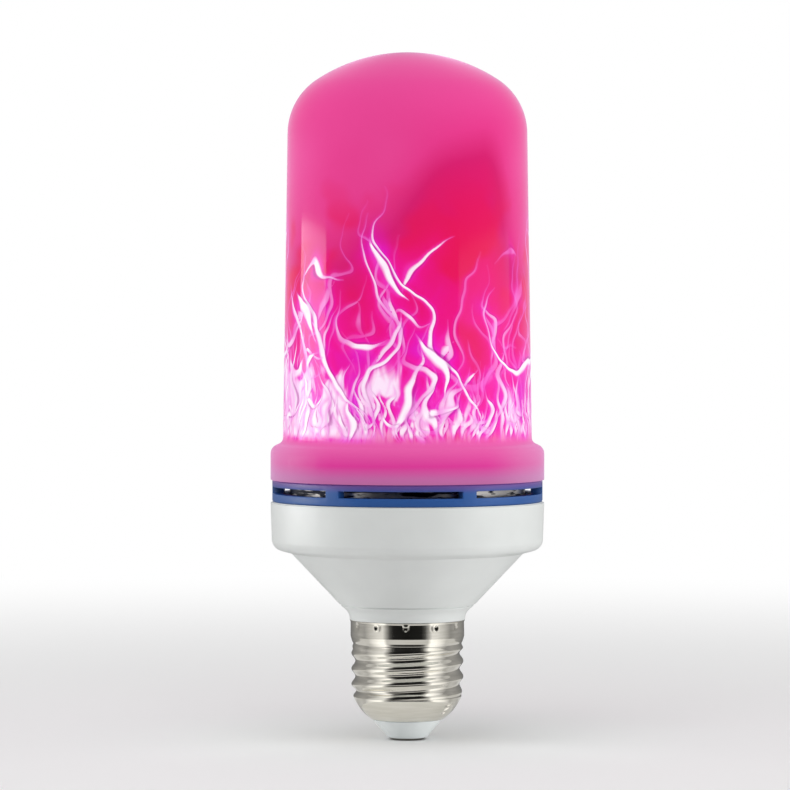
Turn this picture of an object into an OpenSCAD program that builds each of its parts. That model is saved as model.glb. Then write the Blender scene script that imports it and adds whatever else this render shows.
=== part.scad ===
// Flame effect LED bulb with an E27 screw cap.
// The origin is the middle of the centre contact's flat end, and +Z runs up the axis to the dome.

/* [Body] */
// Outside diameter of the collar and the housing
body_d = 64; // [60:0.5:70]
// Wall of the collar and the housing
body_wall = 1.8; // [1.4:0.1:2.2]
// Gap all round between pieces that push into each other
slip = 0.15; // [0.05:0.05:0.25]

/* [Cover] */
// Step in from the collar's face to the tube, on the radius
collar_step = 2.9; // [2:0.1:4]
// Narrowing of the tube up to the dome, on the radius
tube_taper = 1.1; // [0:0.1:2]
// Height of the tube between collar and dome
tube_h = 72; // [66:0.2:90]
// Radius of the dome's crown
crown_r = 38.5; // [32:0.5:60]
// Radius of the bend between tube and dome
knuckle_r = 15; // [8:0.5:20]
// Wall of the tube and the dome
cover_wall = 1.5; // [1:0.1:2]
// Height of the collar at its outer edge
collar_h = 7.5; // [6:0.1:10]
// Rise of the collar's top from its edge to the tube
collar_rise = 1.3; // [0.6:0.1:2]
// Radius of the collar's outer corner
collar_corner_r = 2.2; // [0.5:0.1:2.4]
// Radius of the fillet at the foot of the tube
tube_foot_r = 1.6; // [0.5:0.1:2]

/* [Vent ring] */
// Height of the ring between cover and housing
ring_h = 5.1; // [4.4:0.1:7]
// How far the ring's face stands back from the collar
ring_inset = 0.4; // [0:0.1:0.8]
// Wall of the ring's two tongues
tongue_wall = 1.15; // [0.8:0.05:1.4]
// Height of the tongue inside the collar
upper_tongue_h = 3.5; // [2:0.1:5]
// Depth of the tongue inside the housing
lower_tongue_h = 2.5; // [1.5:0.1:4]
// Number of vent slots
slot_count = 6; // [4:1:8]
// Width of the rib between two slots, in degrees
slot_rib_angle = 6.3; // [4:0.1:12]
// Height of a slot
slot_h = 1.6; // [1:0.1:2]
// Height of a slot's lower edge above the housing
slot_z = 1.95; // [1:0.05:2.2]
// Turn of the slot at the front from straight ahead, in degrees
slot_turn = -3.3; // [-30:0.1:30]
// Chamfer of the ring's outer edges
ring_chamfer = 0.3; // [0.1:0.05:0.5]

/* [Housing] */
// Height of the housing's upright wall
wall_h = 10.85; // [9:0.05:14]
// Inward slope of that wall over its height
wall_draft = 0.35; // [0:0.05:0.8]
// Radius of the wall's lower corner
wall_corner_r = 2.6; // [1:0.1:3]
// Fall of the shoulder from the wall to the cone
shoulder_fall = 1.2; // [0.5:0.1:2]
// Step in from the collar's face to the cone's upper edge, on the radius
shoulder_step = 4.8; // [4:0.1:6]
// Height of the cone
cone_h = 11.9; // [10:0.1:15]
// Step in from the cone to the neck
neck_step = 0.3; // [0.1:0.05:0.5]
// Width of the neck's hollow curve, on the radius
neck_flare = 2.05; // [1.5:0.05:2.6]
// Height of the neck above the cap's rim
neck_h = 3.7; // [3.2:0.1:5]
// How far the neck stands out past the cap's skirt, on the radius
neck_ledge = 0.3; // [0.2:0.05:0.6]
// Radius of the neck's hollow curve
neck_curve_r = 3; // [1:0.1:3.4]
// Gap between the spigot's end and the slope inside the skirt
spigot_gap = 0.1; // [0.05:0.05:0.5]
// Wall of the spigot, left by the bore through the neck
spigot_wall = 1.65; // [1.4:0.05:2]
// Width of the ribs that carry the cup
rib_w = 1.6; // [1:0.1:2.4]
// Number of those ribs
rib_count = 6; // [4:1:8]

/* [Screw cap] */
// Diameter over the thread's crests
thread_d = 26.2; // [26.05:0.05:26.45]
// Depth of the thread
thread_depth = 0.9; // [0.7:0.05:0.95]
// Pitch of the thread
thread_pitch = 3.629; // [3.5:0.001:3.8]
// Height of the threaded band
thread_h = 12; // [11:0.1:14]
// Height over which the thread fades in and out
thread_fade = 1.5; // [1:0.1:2]
// Turn of the thread about the axis, in degrees
thread_turn = -27; // [-180:1:180]
// Narrowing of the band towards the taper, on the radius
thread_end_drop = 0.45; // [0.2:0.05:0.6]
// Step out from the thread's crests to the plain skirt, on the radius
skirt_step = 0.2; // [0.1:0.05:0.4]
// Height of the skirt
skirt_h = 6; // [5.6:0.1:8]
// Flare of the skirt's rim on the radius
rim_flare = 0.15; // [0.05:0.05:0.2]
// Height of the rounded taper under the thread
taper_h = 5.3; // [4.5:0.1:6]
// How far the taper bulges from a straight cone
taper_bulge = 0.54; // [0.1:0.02:0.8]
// Diameter at the small end of the shell
cap_end_d = 16.8; // [15:0.1:18]
// Thickness of the shell's sheet
sheet = 0.3; // [0.2:0.05:0.35]
// Number of crimps round the skirt
crimp_count = 12; // [6:1:16]
// Diameter of a crimp
crimp_d = 1.3; // [1:0.1:1.6]
// Depth of a crimp
crimp_depth = 0.3; // [0.2:0.05:0.35]
// Drop of the crimps below the rim
crimp_drop = 1.3; // [1.2:0.1:2]
// Height of the insulator that shows
insulator_h = 4.3; // [3.5:0.1:5]
// Diameter of the insulator's flat end
insulator_end_d = 9.2; // [8.8:0.1:11]
// How far the insulator bulges from a straight cone
insulator_bulge = 0.2; // [0.05:0.05:0.4]
// Height of the insulator's plug inside the shell
plug_h = 2.2; // [1.5:0.1:3]
// Insulator left round the centre contact, on the radius
contact_edge = 0.3; // [0.2:0.05:0.6]
// How far the contact stands out of the insulator
contact_h = 0.5; // [0.4:0.05:0.8]
// Diameter of the contact's shank
shank_d = 2; // [1.6:0.1:2.4]

/* [Heat sink cup] */
// Gap between the cup and the ring
cup_gap = 1.4; // [0.8:0.1:1.8]
// Thickness of the cup's sheet
cup_wall = 1.2; // [0.8:0.1:1.6]
// Height of the cup's floor above the ring
cup_rise = 2.15; // [1.6:0.05:3]
// Depth of the cup's rim below the ring
cup_drop = 5.75; // [4:0.05:7]
// Radius of the cup's corner
cup_corner_r = 2.2; // [1.7:0.1:3]
// Diameter of the hole for the wires
cup_hole_d = 12; // [10:0.5:16]

/* [Lamp core] */
// Outside diameter of the former
core_d = 32; // [28:0.5:33]
// Wall of the former
core_wall = 1.4; // [1:0.1:2]
// How far the former's foot runs past its screws' heads
core_foot_lip = 0.4; // [0.3:0.1:1]
// Thickness of the former's foot
core_foot_h = 2; // [1.5:0.1:3]
// Thickness of the wrapped board
strip_t = 0.6; // [0.3:0.1:1]
// Opening of the seam in the wrapped board
strip_seam = 1; // [0.5:0.1:2]
// Rows of LEDs up the core
led_rows = 9; // [5:1:9]
// Columns of LEDs round the core
led_columns = 12; // [6:1:14]
// Height from one row to the next
led_row_pitch = 6.6; // [5:0.1:6.8]
// Board left above and below the rows
strip_margin = 1.3; // [1:0.1:3]
// Width of an LED
led_w = 3.5; // [2.8:0.1:3.6]
// Height of an LED
led_l = 2.8; // [2:0.1:3]
// Thickness of an LED
led_t = 0.7; // [0.5:0.05:0.9]
// Thickness of the round board on the core
top_board_t = 1.2; // [0.8:0.1:1.6]
// Radius of the ring of LEDs on the round board
top_led_r = 10.5; // [8:0.5:12]
// LEDs in that ring
top_led_count = 6; // [3:1:8]

/* [Driver] */
// Gap between the driver board's edge and the cone's wall
board_edge_gap = 2.4; // [1.5:0.1:3.5]
// Thickness of the driver board
board_t = 1.6; // [1:0.1:2]
// Gap between the driver board and the cup's rim
board_gap = 2; // [1.6:0.1:3]
// Diameter of the screw bosses
boss_d = 6; // [5:0.1:7]
// Distance of the board's screws from its edge
boss_edge = 3.5; // [3:0.1:4]
// Diameter of the capacitor
capacitor_d = 8; // [6:0.5:9]
// Length of the capacitor
capacitor_l = 11.5; // [9:0.5:12]
// Diameter of the choke
choke_d = 8; // [6:0.5:9]
// Length of the choke
choke_l = 9; // [7:0.5:10]
// Diameter of the resistor
resistor_d = 3.6; // [2.5:0.1:4]
// Length of the resistor
resistor_l = 10; // [8:0.5:11]

/* [Screws and wires] */
// Number of screws in the core's foot
core_screw_count = 3; // [3:1:4]
// Number of screws in the driver board
board_screw_count = 3; // [3:1:4]
// Diameter of a screw's shank
screw_d = 2.2; // [1.8:0.1:2.4]
// Diameter of a screw's head
screw_head_d = 4; // [3.6:0.1:4.4]
// Height of a screw's head
screw_head_h = 1.4; // [1:0.1:1.8]
// Length of a screw's shank
screw_l = 6; // [5:0.5:8]
// Diameter of a wire
wire_d = 1; // [0.8:0.1:1.1]

/* [Hidden] */
$fn = 96;

// Segments in each rounded corner of an outline
corner_steps = 8;
// Most of a side that the rounding at one of its ends may take
side_share = 0.9;
// Facets round the thread and rows up it
thread_sides = 48;
thread_rows = 28;
// Lap and margin where the threaded band runs into the skirt and the taper
band_lap = 0.1;
band_margin = 0.06;
// How far a cutting shape runs past what it cuts
over = 1;
// Small edges and slopes of the housing
shoulder_edge_r = 0.5;
spigot_edge_r = 0.3;
neck_draft = 0.1;
floor_chamfer = 1.2;
// How far the ribs reach in under the cup's rim, and the turn of the first one
rib_lip = 0.5;
rib_turn = 30;
// Spare depth under the driver board's screws
pilot_spare = 0.5;
// Height of the flared rim, and of the slope from the thread to the skirt
rim_h = 0.6;
skirt_rise = 1.2;
// How far the wire's groove stops short of the rim, and the wire's end below it
groove_stop = 0.4;
neutral_drop = 1;
// Cross recess of a screw
recess_w = 0.5;
recess_depth = 0.6;
// Running clearance of a screw in a tapped hole, on the radius
screw_fit = 0.05;
// Clearance of a screw in a plain hole, on the radius
screw_clear = 0.2;
// Nearly touching, for parts laid against a curved face
kiss = 0.02;

body_r = body_d / 2;
body_in_r = body_r - body_wall;
tube_base_r = body_r - collar_step;
tube_r = tube_base_r - tube_taper;

// Heights of the joints, from the contact upwards
z_insulator = contact_h;
z_shell = z_insulator + insulator_h;
z_thread = z_shell + taper_h;
z_skirt = z_thread + thread_h;
z_rim = z_skirt + skirt_h;
z_cone = z_rim + neck_h;
z_shoulder = z_cone + cone_h;
z_ring = z_shoulder + shoulder_fall + wall_h;
z_collar = z_ring + ring_h;
z_collar_edge = z_collar + collar_h;
z_tube = z_collar_edge + collar_rise;
z_knuckle = z_tube + tube_h;

// Dome: a crown and a knuckle that meet on the line through their centres
crown_drop = sqrt(pow(crown_r - knuckle_r, 2) - pow(tube_r - knuckle_r, 2));
dome_h = crown_r - crown_drop;
crown_angle = atan2(crown_drop, tube_r - knuckle_r);

// Screw cap
crest_r = thread_d / 2;
skirt_r = crest_r + skirt_step;
skirt_in_r = skirt_r - sheet;
cap_end_r = cap_end_d / 2;
// How far the shell's small end stands out past the insulator
shell_lip = 0.15;
plug_r = cap_end_r - sheet - slip;
crimp_ball_r = (pow(crimp_d / 2, 2) + pow(crimp_depth, 2)) / (2 * crimp_depth);

// Housing
spigot_r = skirt_in_r - slip;
z_spigot = z_skirt + skirt_rise + spigot_gap;
neck_r = skirt_r + neck_ledge;
cone_foot_r = neck_r + neck_flare + neck_step;
shoulder_r = body_r - shoulder_step;
cone_slope = (shoulder_r - cone_foot_r) / cone_h;
cone_wall = body_wall * sqrt(1 + cone_slope * cone_slope);
neck_bore_r = spigot_r - spigot_wall;
z_bore_top = z_cone + (neck_bore_r + cone_wall - cone_foot_r) / cone_slope;
z_floor = z_shoulder + shoulder_fall + body_wall;
// Inside radius at the top of the cone
throat_r = shoulder_r - cone_wall + cone_slope * body_wall;

// Ring, cup and lamp core
ring_r = body_r - ring_inset;
tongue_r = body_in_r - slip;
ring_in_r = tongue_r - tongue_wall;
slot_angle = 360 / slot_count - slot_rib_angle;
cup_r = ring_in_r - cup_gap;
cup_in_r = cup_r - cup_wall;
z_cup = z_ring - cup_drop;
z_cup_top = z_collar + cup_rise;
core_r = core_d / 2;
strip_in_r = core_r + slip;
strip_r = strip_in_r + strip_t;
z_strip = z_cup_top + core_foot_h;
strip_h = led_rows * led_row_pitch + 2 * strip_margin;
z_top_board = z_strip + strip_h;
z_top_led = z_top_board + top_board_t;
screw_r = screw_d / 2;
core_screw_r = strip_r + led_t + screw_head_d / 2 + slip;
core_foot_r = core_screw_r + screw_head_d / 2 + core_foot_lip;

// Driver board, and what hangs under it or stands on it
z_board_top = z_cup - board_gap;
z_board = z_board_top - board_t;
board_r = throat_r - board_edge_gap;
boss_r = board_r - boss_edge;
capacitor_pos = [-8.5, 2];
choke_pos = [8, 5];
resistor_pos = [0, -9];
bridge_pos = [11, 8];
bridge_size = [6.5, 4.6, 2.4];
driver_chip_pos = [-11, 6];
driver_chip_size = [4.9, 3.9, 1.4];
controller_pos = [-1, -12];
controller_size = [9.9, 3.9, 1.4];
chip_leg_pitch = 1.27;
neutral_angle = 75;
neutral_in_r = neck_bore_r - wire_d;
neutral_out_r = skirt_in_r - wire_d / 2 - slip;
led_lead_r = 3;
led_lead_count = 3;
z_rivet = z_shell + plug_h;
rivet_h = 0.5;
rivet_r = shank_d;

function unit(v) = v / norm(v);
function clamp01(t) = min(max(t, 0), 1);
function smooth(t) = let (c = clamp01(t)) c * c * (3 - 2 * c);
function polar(r, a) = [r * cos(a), r * sin(a)];
function wrap180(a) = a > 180 ? a - 360 : a < -180 ? a + 360 : a;

// Arc of radius r in place of the corner p between its neighbours a and b, as far as those sides reach
function corner(a, p, b, r) =
    let (
        u = unit(a - p),
        v = unit(b - p),
        half = acos(u * v) / 2,
        run = min(r / tan(half), side_share * min(norm(a - p), norm(b - p))),
        arc_r = run * tan(half),
        c = p + unit(u + v) * arc_r / sin(half),
        from = p + u * run - c,
        to = p + v * run - c,
        a0 = atan2(from[1], from[0]),
        sweep = wrap180(atan2(to[1], to[0]) - a0)
    )
    [for (i = [0:corner_steps]) c + polar(arc_r, a0 + sweep * i / corner_steps)];

// Outline from points [x, y] or [x, y, corner radius]
function outline(pts) =
    let (n = len(pts), xy = [for (p = pts) [p[0], p[1]]])
    [for (i = [0:n - 1])
        each len(pts[i]) < 3
            ? [xy[i]]
            : corner(xy[(i + n - 1) % n], xy[i], xy[(i + 1) % n], pts[i][2])];

// Points of an arc that bows out to the right of the line from a to b
function bow(a, b, bulge, steps) =
    let (
        chord = norm(b - a),
        side = unit([b[1] - a[1], a[0] - b[0]]),
        c = (a + b) / 2 + side * (bulge / 2 - chord * chord / (8 * bulge)),
        a0 = atan2(a[1] - c[1], a[0] - c[0]),
        sweep = wrap180(atan2(b[1] - c[1], b[0] - c[0]) - a0)
    )
    [for (i = [0:steps]) c + polar(norm(a - c), a0 + sweep * i / steps)];

// Half outline of the cover's outside, from the collar's foot to the top of the dome
function cover_outside(foot) =
    let (
        knuckle = [tube_r - knuckle_r, z_knuckle],
        crown = [0, z_knuckle + dome_h - crown_r]
    )
    outline(concat(
        [foot, [body_r, foot[1]], [body_r, z_collar_edge, collar_corner_r]],
        [[tube_base_r, z_tube, tube_foot_r]],
        [for (i = [0:12]) knuckle + polar(knuckle_r, crown_angle * i / 12)],
        [for (i = [1:16]) crown + polar(crown_r, crown_angle + (90 - crown_angle) * i / 16)],
        [[foot[0], z_knuckle + dome_h]]
    ));

module ring_of(count, r, turn = 0)
    for (i = [0:count - 1]) rotate(turn + 360 * i / count) translate([r, 0, 0]) children();

module tube_between(r_out, r_in, z0, z1)
    translate([0, 0, z0]) difference() {
        cylinder(r = r_out, h = z1 - z0);
        translate([0, 0, -over]) cylinder(r = r_in, h = z1 - z0 + 2 * over);
    }

// Milky cover: dome, tapered tube and collar in one moulding, open at the foot
module diffuser_cover() {
    // The outline for the inside runs on across the axis and below the foot
    past = 2 * body_wall + 2 * cover_wall;
    color([0.93, 0.35, 0.65]) rotate_extrude() difference() {
        polygon(cover_outside([0, z_collar]));
        intersection() {
            offset(delta = -cover_wall) polygon(cover_outside([-past, z_collar - past]));
            union() {
                translate([-past, z_collar - past]) square([past + body_in_r, z_knuckle - z_collar]);
                translate([-past, z_collar_edge - collar_corner_r])
                    square([past + 2 * body_r, z_knuckle + dome_h - z_collar]);
            }
        }
    }
}

// Blue ring: a band with vent slots, and a tongue up into the collar and down into the housing
module vent_ring() {
    band = [
        [ring_in_r, z_ring - lower_tongue_h], [tongue_r, z_ring - lower_tongue_h], [tongue_r, z_ring],
        [ring_r - ring_chamfer, z_ring], [ring_r, z_ring + ring_chamfer],
        [ring_r, z_collar - ring_chamfer], [ring_r - ring_chamfer, z_collar],
        [tongue_r, z_collar], [tongue_r, z_collar + upper_tongue_h],
        [ring_in_r, z_collar + upper_tongue_h]
    ];
    reach = 2 * body_r;
    color([0.20, 0.38, 0.66]) difference() {
        rotate_extrude() polygon(band);
        for (i = [0:slot_count - 1])
            rotate(slot_turn - 90 + 360 * i / slot_count) translate([0, 0, z_ring + slot_z])
                linear_extrude(slot_h)
                    polygon([[0, 0], polar(reach, -slot_angle / 2), polar(reach, slot_angle / 2)]);
    }
}

function housing_outside() = outline([
    [0, z_ring],
    [body_r, z_ring],
    [body_r - wall_draft, z_shoulder + shoulder_fall, wall_corner_r],
    [shoulder_r, z_shoulder, shoulder_edge_r],
    [cone_foot_r, z_cone],
    [cone_foot_r - neck_step, z_cone],
    [neck_r, z_cone - neck_flare, neck_curve_r],
    [neck_r - neck_draft, z_rim],
    [spigot_r, z_rim],
    [spigot_r, z_spigot, spigot_edge_r],
    [0, z_spigot]
]);

function housing_inside() = [
    [0, z_ring + over], [body_in_r, z_ring + over],
    [body_in_r, z_floor + floor_chamfer], [body_in_r - floor_chamfer, z_floor],
    [throat_r, z_shoulder + body_wall],
    [neck_bore_r, z_bore_top], [neck_bore_r, z_spigot - over], [0, z_spigot - over]
];

// Ball that presses a crimp, placed on the skirt
module crimp_balls(grow)
    ring_of(crimp_count, skirt_r + crimp_ball_r - crimp_depth, -91.7)
        translate([0, 0, z_rim - crimp_drop]) sphere(r = crimp_ball_r + grow, $fn = 32);

// White housing: wall, shoulder, cone, neck and spigot, with ribs for the cup and bosses for the board
module base_housing() {
    rib_in_r = cup_in_r - rib_lip;
    color([0.86, 0.88, 0.87]) difference() {
        union() {
            rotate_extrude() difference() {
                polygon(housing_outside());
                polygon(housing_inside());
            }
            intersection() {
                rotate_extrude() polygon(housing_outside());
                union() {
                    ring_of(rib_count, rib_in_r, rib_turn)
                        translate([0, -rib_w / 2, z_shoulder])
                            cube([body_in_r + body_wall / 2 - rib_in_r, rib_w, z_cup - z_shoulder]);
                    ring_of(board_screw_count, boss_r, 90)
                        translate([0, 0, z_cone]) cylinder(d = boss_d, h = z_board - z_cone, $fn = 48);
                }
            }
        }
        ring_of(board_screw_count, boss_r, 90)
            translate([0, 0, z_board_top - screw_l - pilot_spare])
                cylinder(r = screw_r + screw_fit, h = screw_l + over, $fn = 32);
        crimp_balls(sheet + slip);
        // Groove that lets the neutral wire lie between spigot and shell
        rotate(neutral_angle)
            translate([neutral_out_r - wire_d / 2 - slip, -wire_d / 2 - slip, z_spigot - over])
                cube([2 * wire_d, wire_d + 2 * slip, z_rim - z_spigot - groove_stop + over]);
    }
}

// Outside radius of the threaded band at angle a and height z
function thread_at(a, z) =
    let (
        fade = smooth(min(z - z_thread, z_skirt - z) / thread_fade),
        drop = thread_end_drop * (1 - smooth((z - z_thread) / (2 * thread_fade)))
    )
    crest_r - drop - thread_depth * fade * (1 - cos(a - thread_turn - 360 * z / thread_pitch)) / 2;

// Threaded band of the shell: two faceted skins, one sheet apart, closed at both ends
module thread_band() {
    n = thread_sides;
    rows = thread_rows;
    layer = n * (rows + 1);
    skin = function (grow) [
        for (j = [0:rows], k = [0:n - 1])
            let (a = 360 * k / n, z = z_thread + thread_h * j / rows, r = thread_at(a, z) + grow)
            [r * cos(a), r * sin(a), z]
    ];
    at = function (j, k) j * n + k % n;
    outer = [
        for (j = [0:rows - 1], k = [0:n - 1])
            each [[at(j, k), at(j + 1, k), at(j + 1, k + 1)], [at(j, k), at(j + 1, k + 1), at(j, k + 1)]]
    ];
    inner = [for (t = outer) [t[0] + layer, t[2] + layer, t[1] + layer]];
    foot = [
        for (k = [0:n - 1])
            each [
                [at(0, k), at(0, k + 1), at(0, k + 1) + layer],
                [at(0, k), at(0, k + 1) + layer, at(0, k) + layer]
            ]
    ];
    head = [for (t = foot) [t[0] + rows * n, t[2] + rows * n, t[1] + rows * n]];
    polyhedron(points = concat(skin(0), skin(-sheet)), faces = concat(outer, inner, foot, head));
}

// Screw shell: flared rim, crimped skirt, round E27 thread and a bulged taper, drawn from one sheet
module screw_shell() {
    skirt = [
        [crest_r + band_margin, z_skirt - band_lap], [skirt_r, z_skirt + skirt_rise],
        [skirt_r, z_rim - rim_h], [skirt_r + rim_flare, z_rim],
        [skirt_in_r + rim_flare, z_rim], [skirt_in_r, z_rim - rim_h],
        [skirt_in_r, z_skirt + skirt_rise], [crest_r - sheet - band_margin, z_skirt - band_lap]
    ];
    taper_r = crest_r - thread_end_drop;
    taper = concat(
        bow([cap_end_r, z_shell], [taper_r + band_margin, z_thread + band_lap], taper_bulge, 8),
        bow([taper_r - sheet - band_margin, z_thread + band_lap], [cap_end_r - sheet, z_shell],
            -taper_bulge, 8)
    );
    color([0.78, 0.77, 0.72]) union() {
        difference() {
            union() {
                rotate_extrude() polygon(skirt);
                intersection() {
                    crimp_balls(sheet);
                    tube_between(skirt_r - sheet / 2, skirt_r - 2, z_rim - 2 * crimp_drop, z_rim);
                }
            }
            crimp_balls(0);
        }
        thread_band();
        rotate_extrude() polygon(taper);
    }
}

// Insulator: bulged end that closes the shell, with a plug inside it and a hole for the rivet
module cap_insulator() {
    end_r = insulator_end_d / 2;
    profile = concat(
        [[shank_d / 2 + slip, z_insulator]],
        bow([end_r, z_insulator], [cap_end_r - shell_lip, z_shell], insulator_bulge, 6),
        [[plug_r, z_shell], [plug_r, z_rivet], [shank_d / 2 + slip, z_rivet]]
    );
    color([0.76, 0.80, 0.81]) rotate_extrude() polygon(profile);
}

// Centre contact: a flat button with a shank that is riveted over inside the cap
module centre_contact() {
    r = insulator_end_d / 2 - contact_edge;
    button = outline([
        [0, 0], [r - contact_h, 0, 0.3], [r, contact_h - 0.1], [r, contact_h], [shank_d / 2, contact_h],
        [shank_d / 2, z_rivet], [rivet_r, z_rivet], [rivet_r - 0.2, z_rivet + rivet_h],
        [0, z_rivet + rivet_h]
    ]);
    color([0.45, 0.44, 0.42]) rotate_extrude() polygon(button);
}

// Aluminium cup behind the vent slots: its closed end carries the lamp core
module heat_sink_cup() {
    profile = outline([
        [cup_hole_d / 2, z_cup_top], [cup_r, z_cup_top, cup_corner_r], [cup_r, z_cup], [cup_in_r, z_cup],
        [cup_in_r, z_cup_top - cup_wall, cup_corner_r - cup_wall], [cup_hole_d / 2, z_cup_top - cup_wall]
    ]);
    color([0.75, 0.76, 0.78]) difference() {
        rotate_extrude() polygon(profile);
        ring_of(core_screw_count, core_screw_r, 90)
            translate([0, 0, z_cup_top - cup_wall - over])
                cylinder(r = screw_r + screw_fit, h = cup_wall + 2 * over, $fn = 32);
    }
}

// White former with a foot that is screwed to the cup
module core_tube() {
    color([0.92, 0.92, 0.90]) difference() {
        union() {
            translate([0, 0, z_cup_top]) cylinder(r = core_foot_r, h = core_foot_h);
            translate([0, 0, z_cup_top]) cylinder(r = core_r, h = z_top_board - z_cup_top);
        }
        translate([0, 0, z_cup_top - over])
            cylinder(r = core_r - core_wall, h = z_top_board - z_cup_top + 2 * over);
        ring_of(core_screw_count, core_screw_r, 90)
            translate([0, 0, z_cup_top - over])
                cylinder(r = screw_r + screw_clear, h = core_foot_h + 2 * over, $fn = 32);
    }
}

// Flexible board wrapped round the former, with its seam at the back
module strip_board() {
    color([0.95, 0.95, 0.93]) difference() {
        tube_between(strip_r, strip_in_r, z_strip, z_top_board);
        translate([-strip_seam / 2, 0, z_strip - over])
            cube([strip_seam, 2 * strip_r, strip_h + 2 * over]);
    }
}

// Rows of LEDs on the wrapped board, clear of its seam
module side_leds() {
    color([0.98, 0.86, 0.45])
        for (row = [0:led_rows - 1])
            ring_of(led_columns, strip_r + kiss, 90 + 180 / led_columns)
                translate([0, -led_w / 2, z_strip + strip_margin + (row + 0.5) * led_row_pitch - led_l / 2])
                    cube([led_t, led_w, led_l]);
}

module top_board() {
    color([0.95, 0.95, 0.93]) translate([0, 0, z_top_board]) cylinder(r = strip_r, h = top_board_t);
}

module top_leds() {
    color([0.98, 0.86, 0.45]) {
        ring_of(top_led_count, top_led_r)
            translate([-led_l / 2, -led_w / 2, z_top_led]) cube([led_l, led_w, led_t]);
        translate([-led_l / 2, -led_w / 2, z_top_led]) cube([led_l, led_w, led_t]);
    }
}

// Pan head screw with a cross recess, its seat at z = 0
module pan_screw() {
    slot = screw_head_d * 0.55;
    difference() {
        union() {
            rotate_extrude() polygon(outline([
                [0, 0], [screw_head_d / 2, 0], [screw_head_d / 2, screw_head_h, screw_head_h * 0.6],
                [0, screw_head_h]
            ]), $fn = 48);
            translate([0, 0, -screw_l]) cylinder(r = screw_r, h = screw_l + recess_depth / 2, $fn = 48);
        }
        for (a = [0, 90]) rotate(a)
            translate([-slot / 2, -recess_w / 2, screw_head_h - recess_depth])
                cube([slot, recess_w, recess_depth + over]);
    }
}

module core_screws() {
    color([0.70, 0.71, 0.72]) ring_of(core_screw_count, core_screw_r, 90)
        translate([0, 0, z_strip]) pan_screw();
}

module board_screws() {
    color([0.70, 0.71, 0.72]) ring_of(board_screw_count, boss_r, 90)
        translate([0, 0, z_board_top]) pan_screw();
}

module driver_board() {
    color([0.13, 0.42, 0.25]) difference() {
        translate([0, 0, z_board]) cylinder(r = board_r, h = board_t);
        ring_of(board_screw_count, boss_r, 90)
            translate([0, 0, z_board - over])
                cylinder(r = screw_r + screw_clear, h = board_t + 2 * over, $fn = 32);
    }
}

// Electrolytic can hanging under the board, with its bead near the base
module filter_capacitor() {
    r = capacitor_d / 2;
    bead = 0.4;
    z_bead = -2.3;
    can = outline([
        [0, 0], [r - bead, 0], [r, -bead],
        [r, z_bead + bead], [r - bead, z_bead, 0.3], [r, z_bead - bead],
        [r, -capacitor_l, 0.5], [0, -capacitor_l]
    ]);
    color([0.10, 0.12, 0.22]) translate([capacitor_pos[0], capacitor_pos[1], z_board])
        rotate_extrude($fn = 64) polygon(can);
}

// Drum choke: a winding between two flanges
module choke() {
    r = choke_d / 2;
    flange = 1.2;
    winding_r = r - 0.6;
    drum = [
        [0, 0], [r, 0], [r, -flange], [winding_r, -flange], [winding_r, flange - choke_l],
        [r, flange - choke_l], [r, -choke_l], [0, -choke_l]
    ];
    color([0.35, 0.22, 0.14]) translate([choke_pos[0], choke_pos[1], z_board])
        rotate_extrude($fn = 64) polygon(drum);
}

// Flat chip with rows of bent legs that stand on the board
module chip(size, legs, leg_pitch) {
    lift = 0.15;
    leg = 0.4;
    foot = 0.9;
    translate([-size[0] / 2, -size[1] / 2, lift]) cube(size);
    for (side = [-1, 1], i = [0:legs - 1])
        translate([(i - (legs - 1) / 2) * leg_pitch - leg / 2, side * size[1] / 2, 0]) {
            translate([0, side > 0 ? 0 : -foot, 0]) cube([leg, foot, 0.2]);
            translate([0, -0.2, 0]) cube([leg, 0.4, size[2] / 2]);
        }
}

module bridge_rectifier() {
    color([0.12, 0.12, 0.13]) translate([bridge_pos[0], bridge_pos[1], z_board_top])
        chip(bridge_size, 2, 4);
}

module driver_chip() {
    color([0.12, 0.12, 0.13]) translate([driver_chip_pos[0], driver_chip_pos[1], z_board_top])
        chip(driver_chip_size, 4, chip_leg_pitch);
}

module controller_chip() {
    color([0.12, 0.12, 0.13]) translate([controller_pos[0], controller_pos[1], z_board_top])
        chip(controller_size, 8, chip_leg_pitch);
}

// Resistor lying under the board, with its two legs bent up to it
module fusible_resistor() {
    leg = 0.6;
    span = resistor_l + 3;
    r = resistor_d / 2;
    color([0.45, 0.62, 0.72])
        translate([resistor_pos[0], resistor_pos[1], z_board - r - 0.3]) {
            rotate([0, 90, 0]) translate([0, 0, -resistor_l / 2]) rotate_extrude($fn = 48) polygon(outline([
                [0, 0], [r, 0, 0.6], [r, resistor_l, 0.6], [0, resistor_l]
            ]));
            rotate([0, 90, 0]) translate([0, 0, -span / 2]) cylinder(d = leg, h = span, $fn = 24);
            for (x = [-span / 2, span / 2]) {
                translate([x, 0, 0]) sphere(d = leg, $fn = 24);
                translate([x, 0, 0]) cylinder(d = leg, h = r + 0.3, $fn = 24);
            }
        }
}

// Wire along straight runs with round bends
module wire(pts) {
    for (i = [0:len(pts) - 2])
        let (d = pts[i + 1] - pts[i], l = norm(d))
        translate(pts[i]) rotate([0, acos(d[2] / l), atan2(d[1], d[0])])
            cylinder(d = wire_d, h = l, $fn = 32);
    for (p = pts) if (p != pts[0] && p != pts[len(pts) - 1]) translate(p) sphere(d = wire_d, $fn = 32);
}

module live_lead() {
    color([0.75, 0.12, 0.12])
        wire([[0, 0, z_rivet + rivet_h], [0, 0, z_board]]);
}

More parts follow.
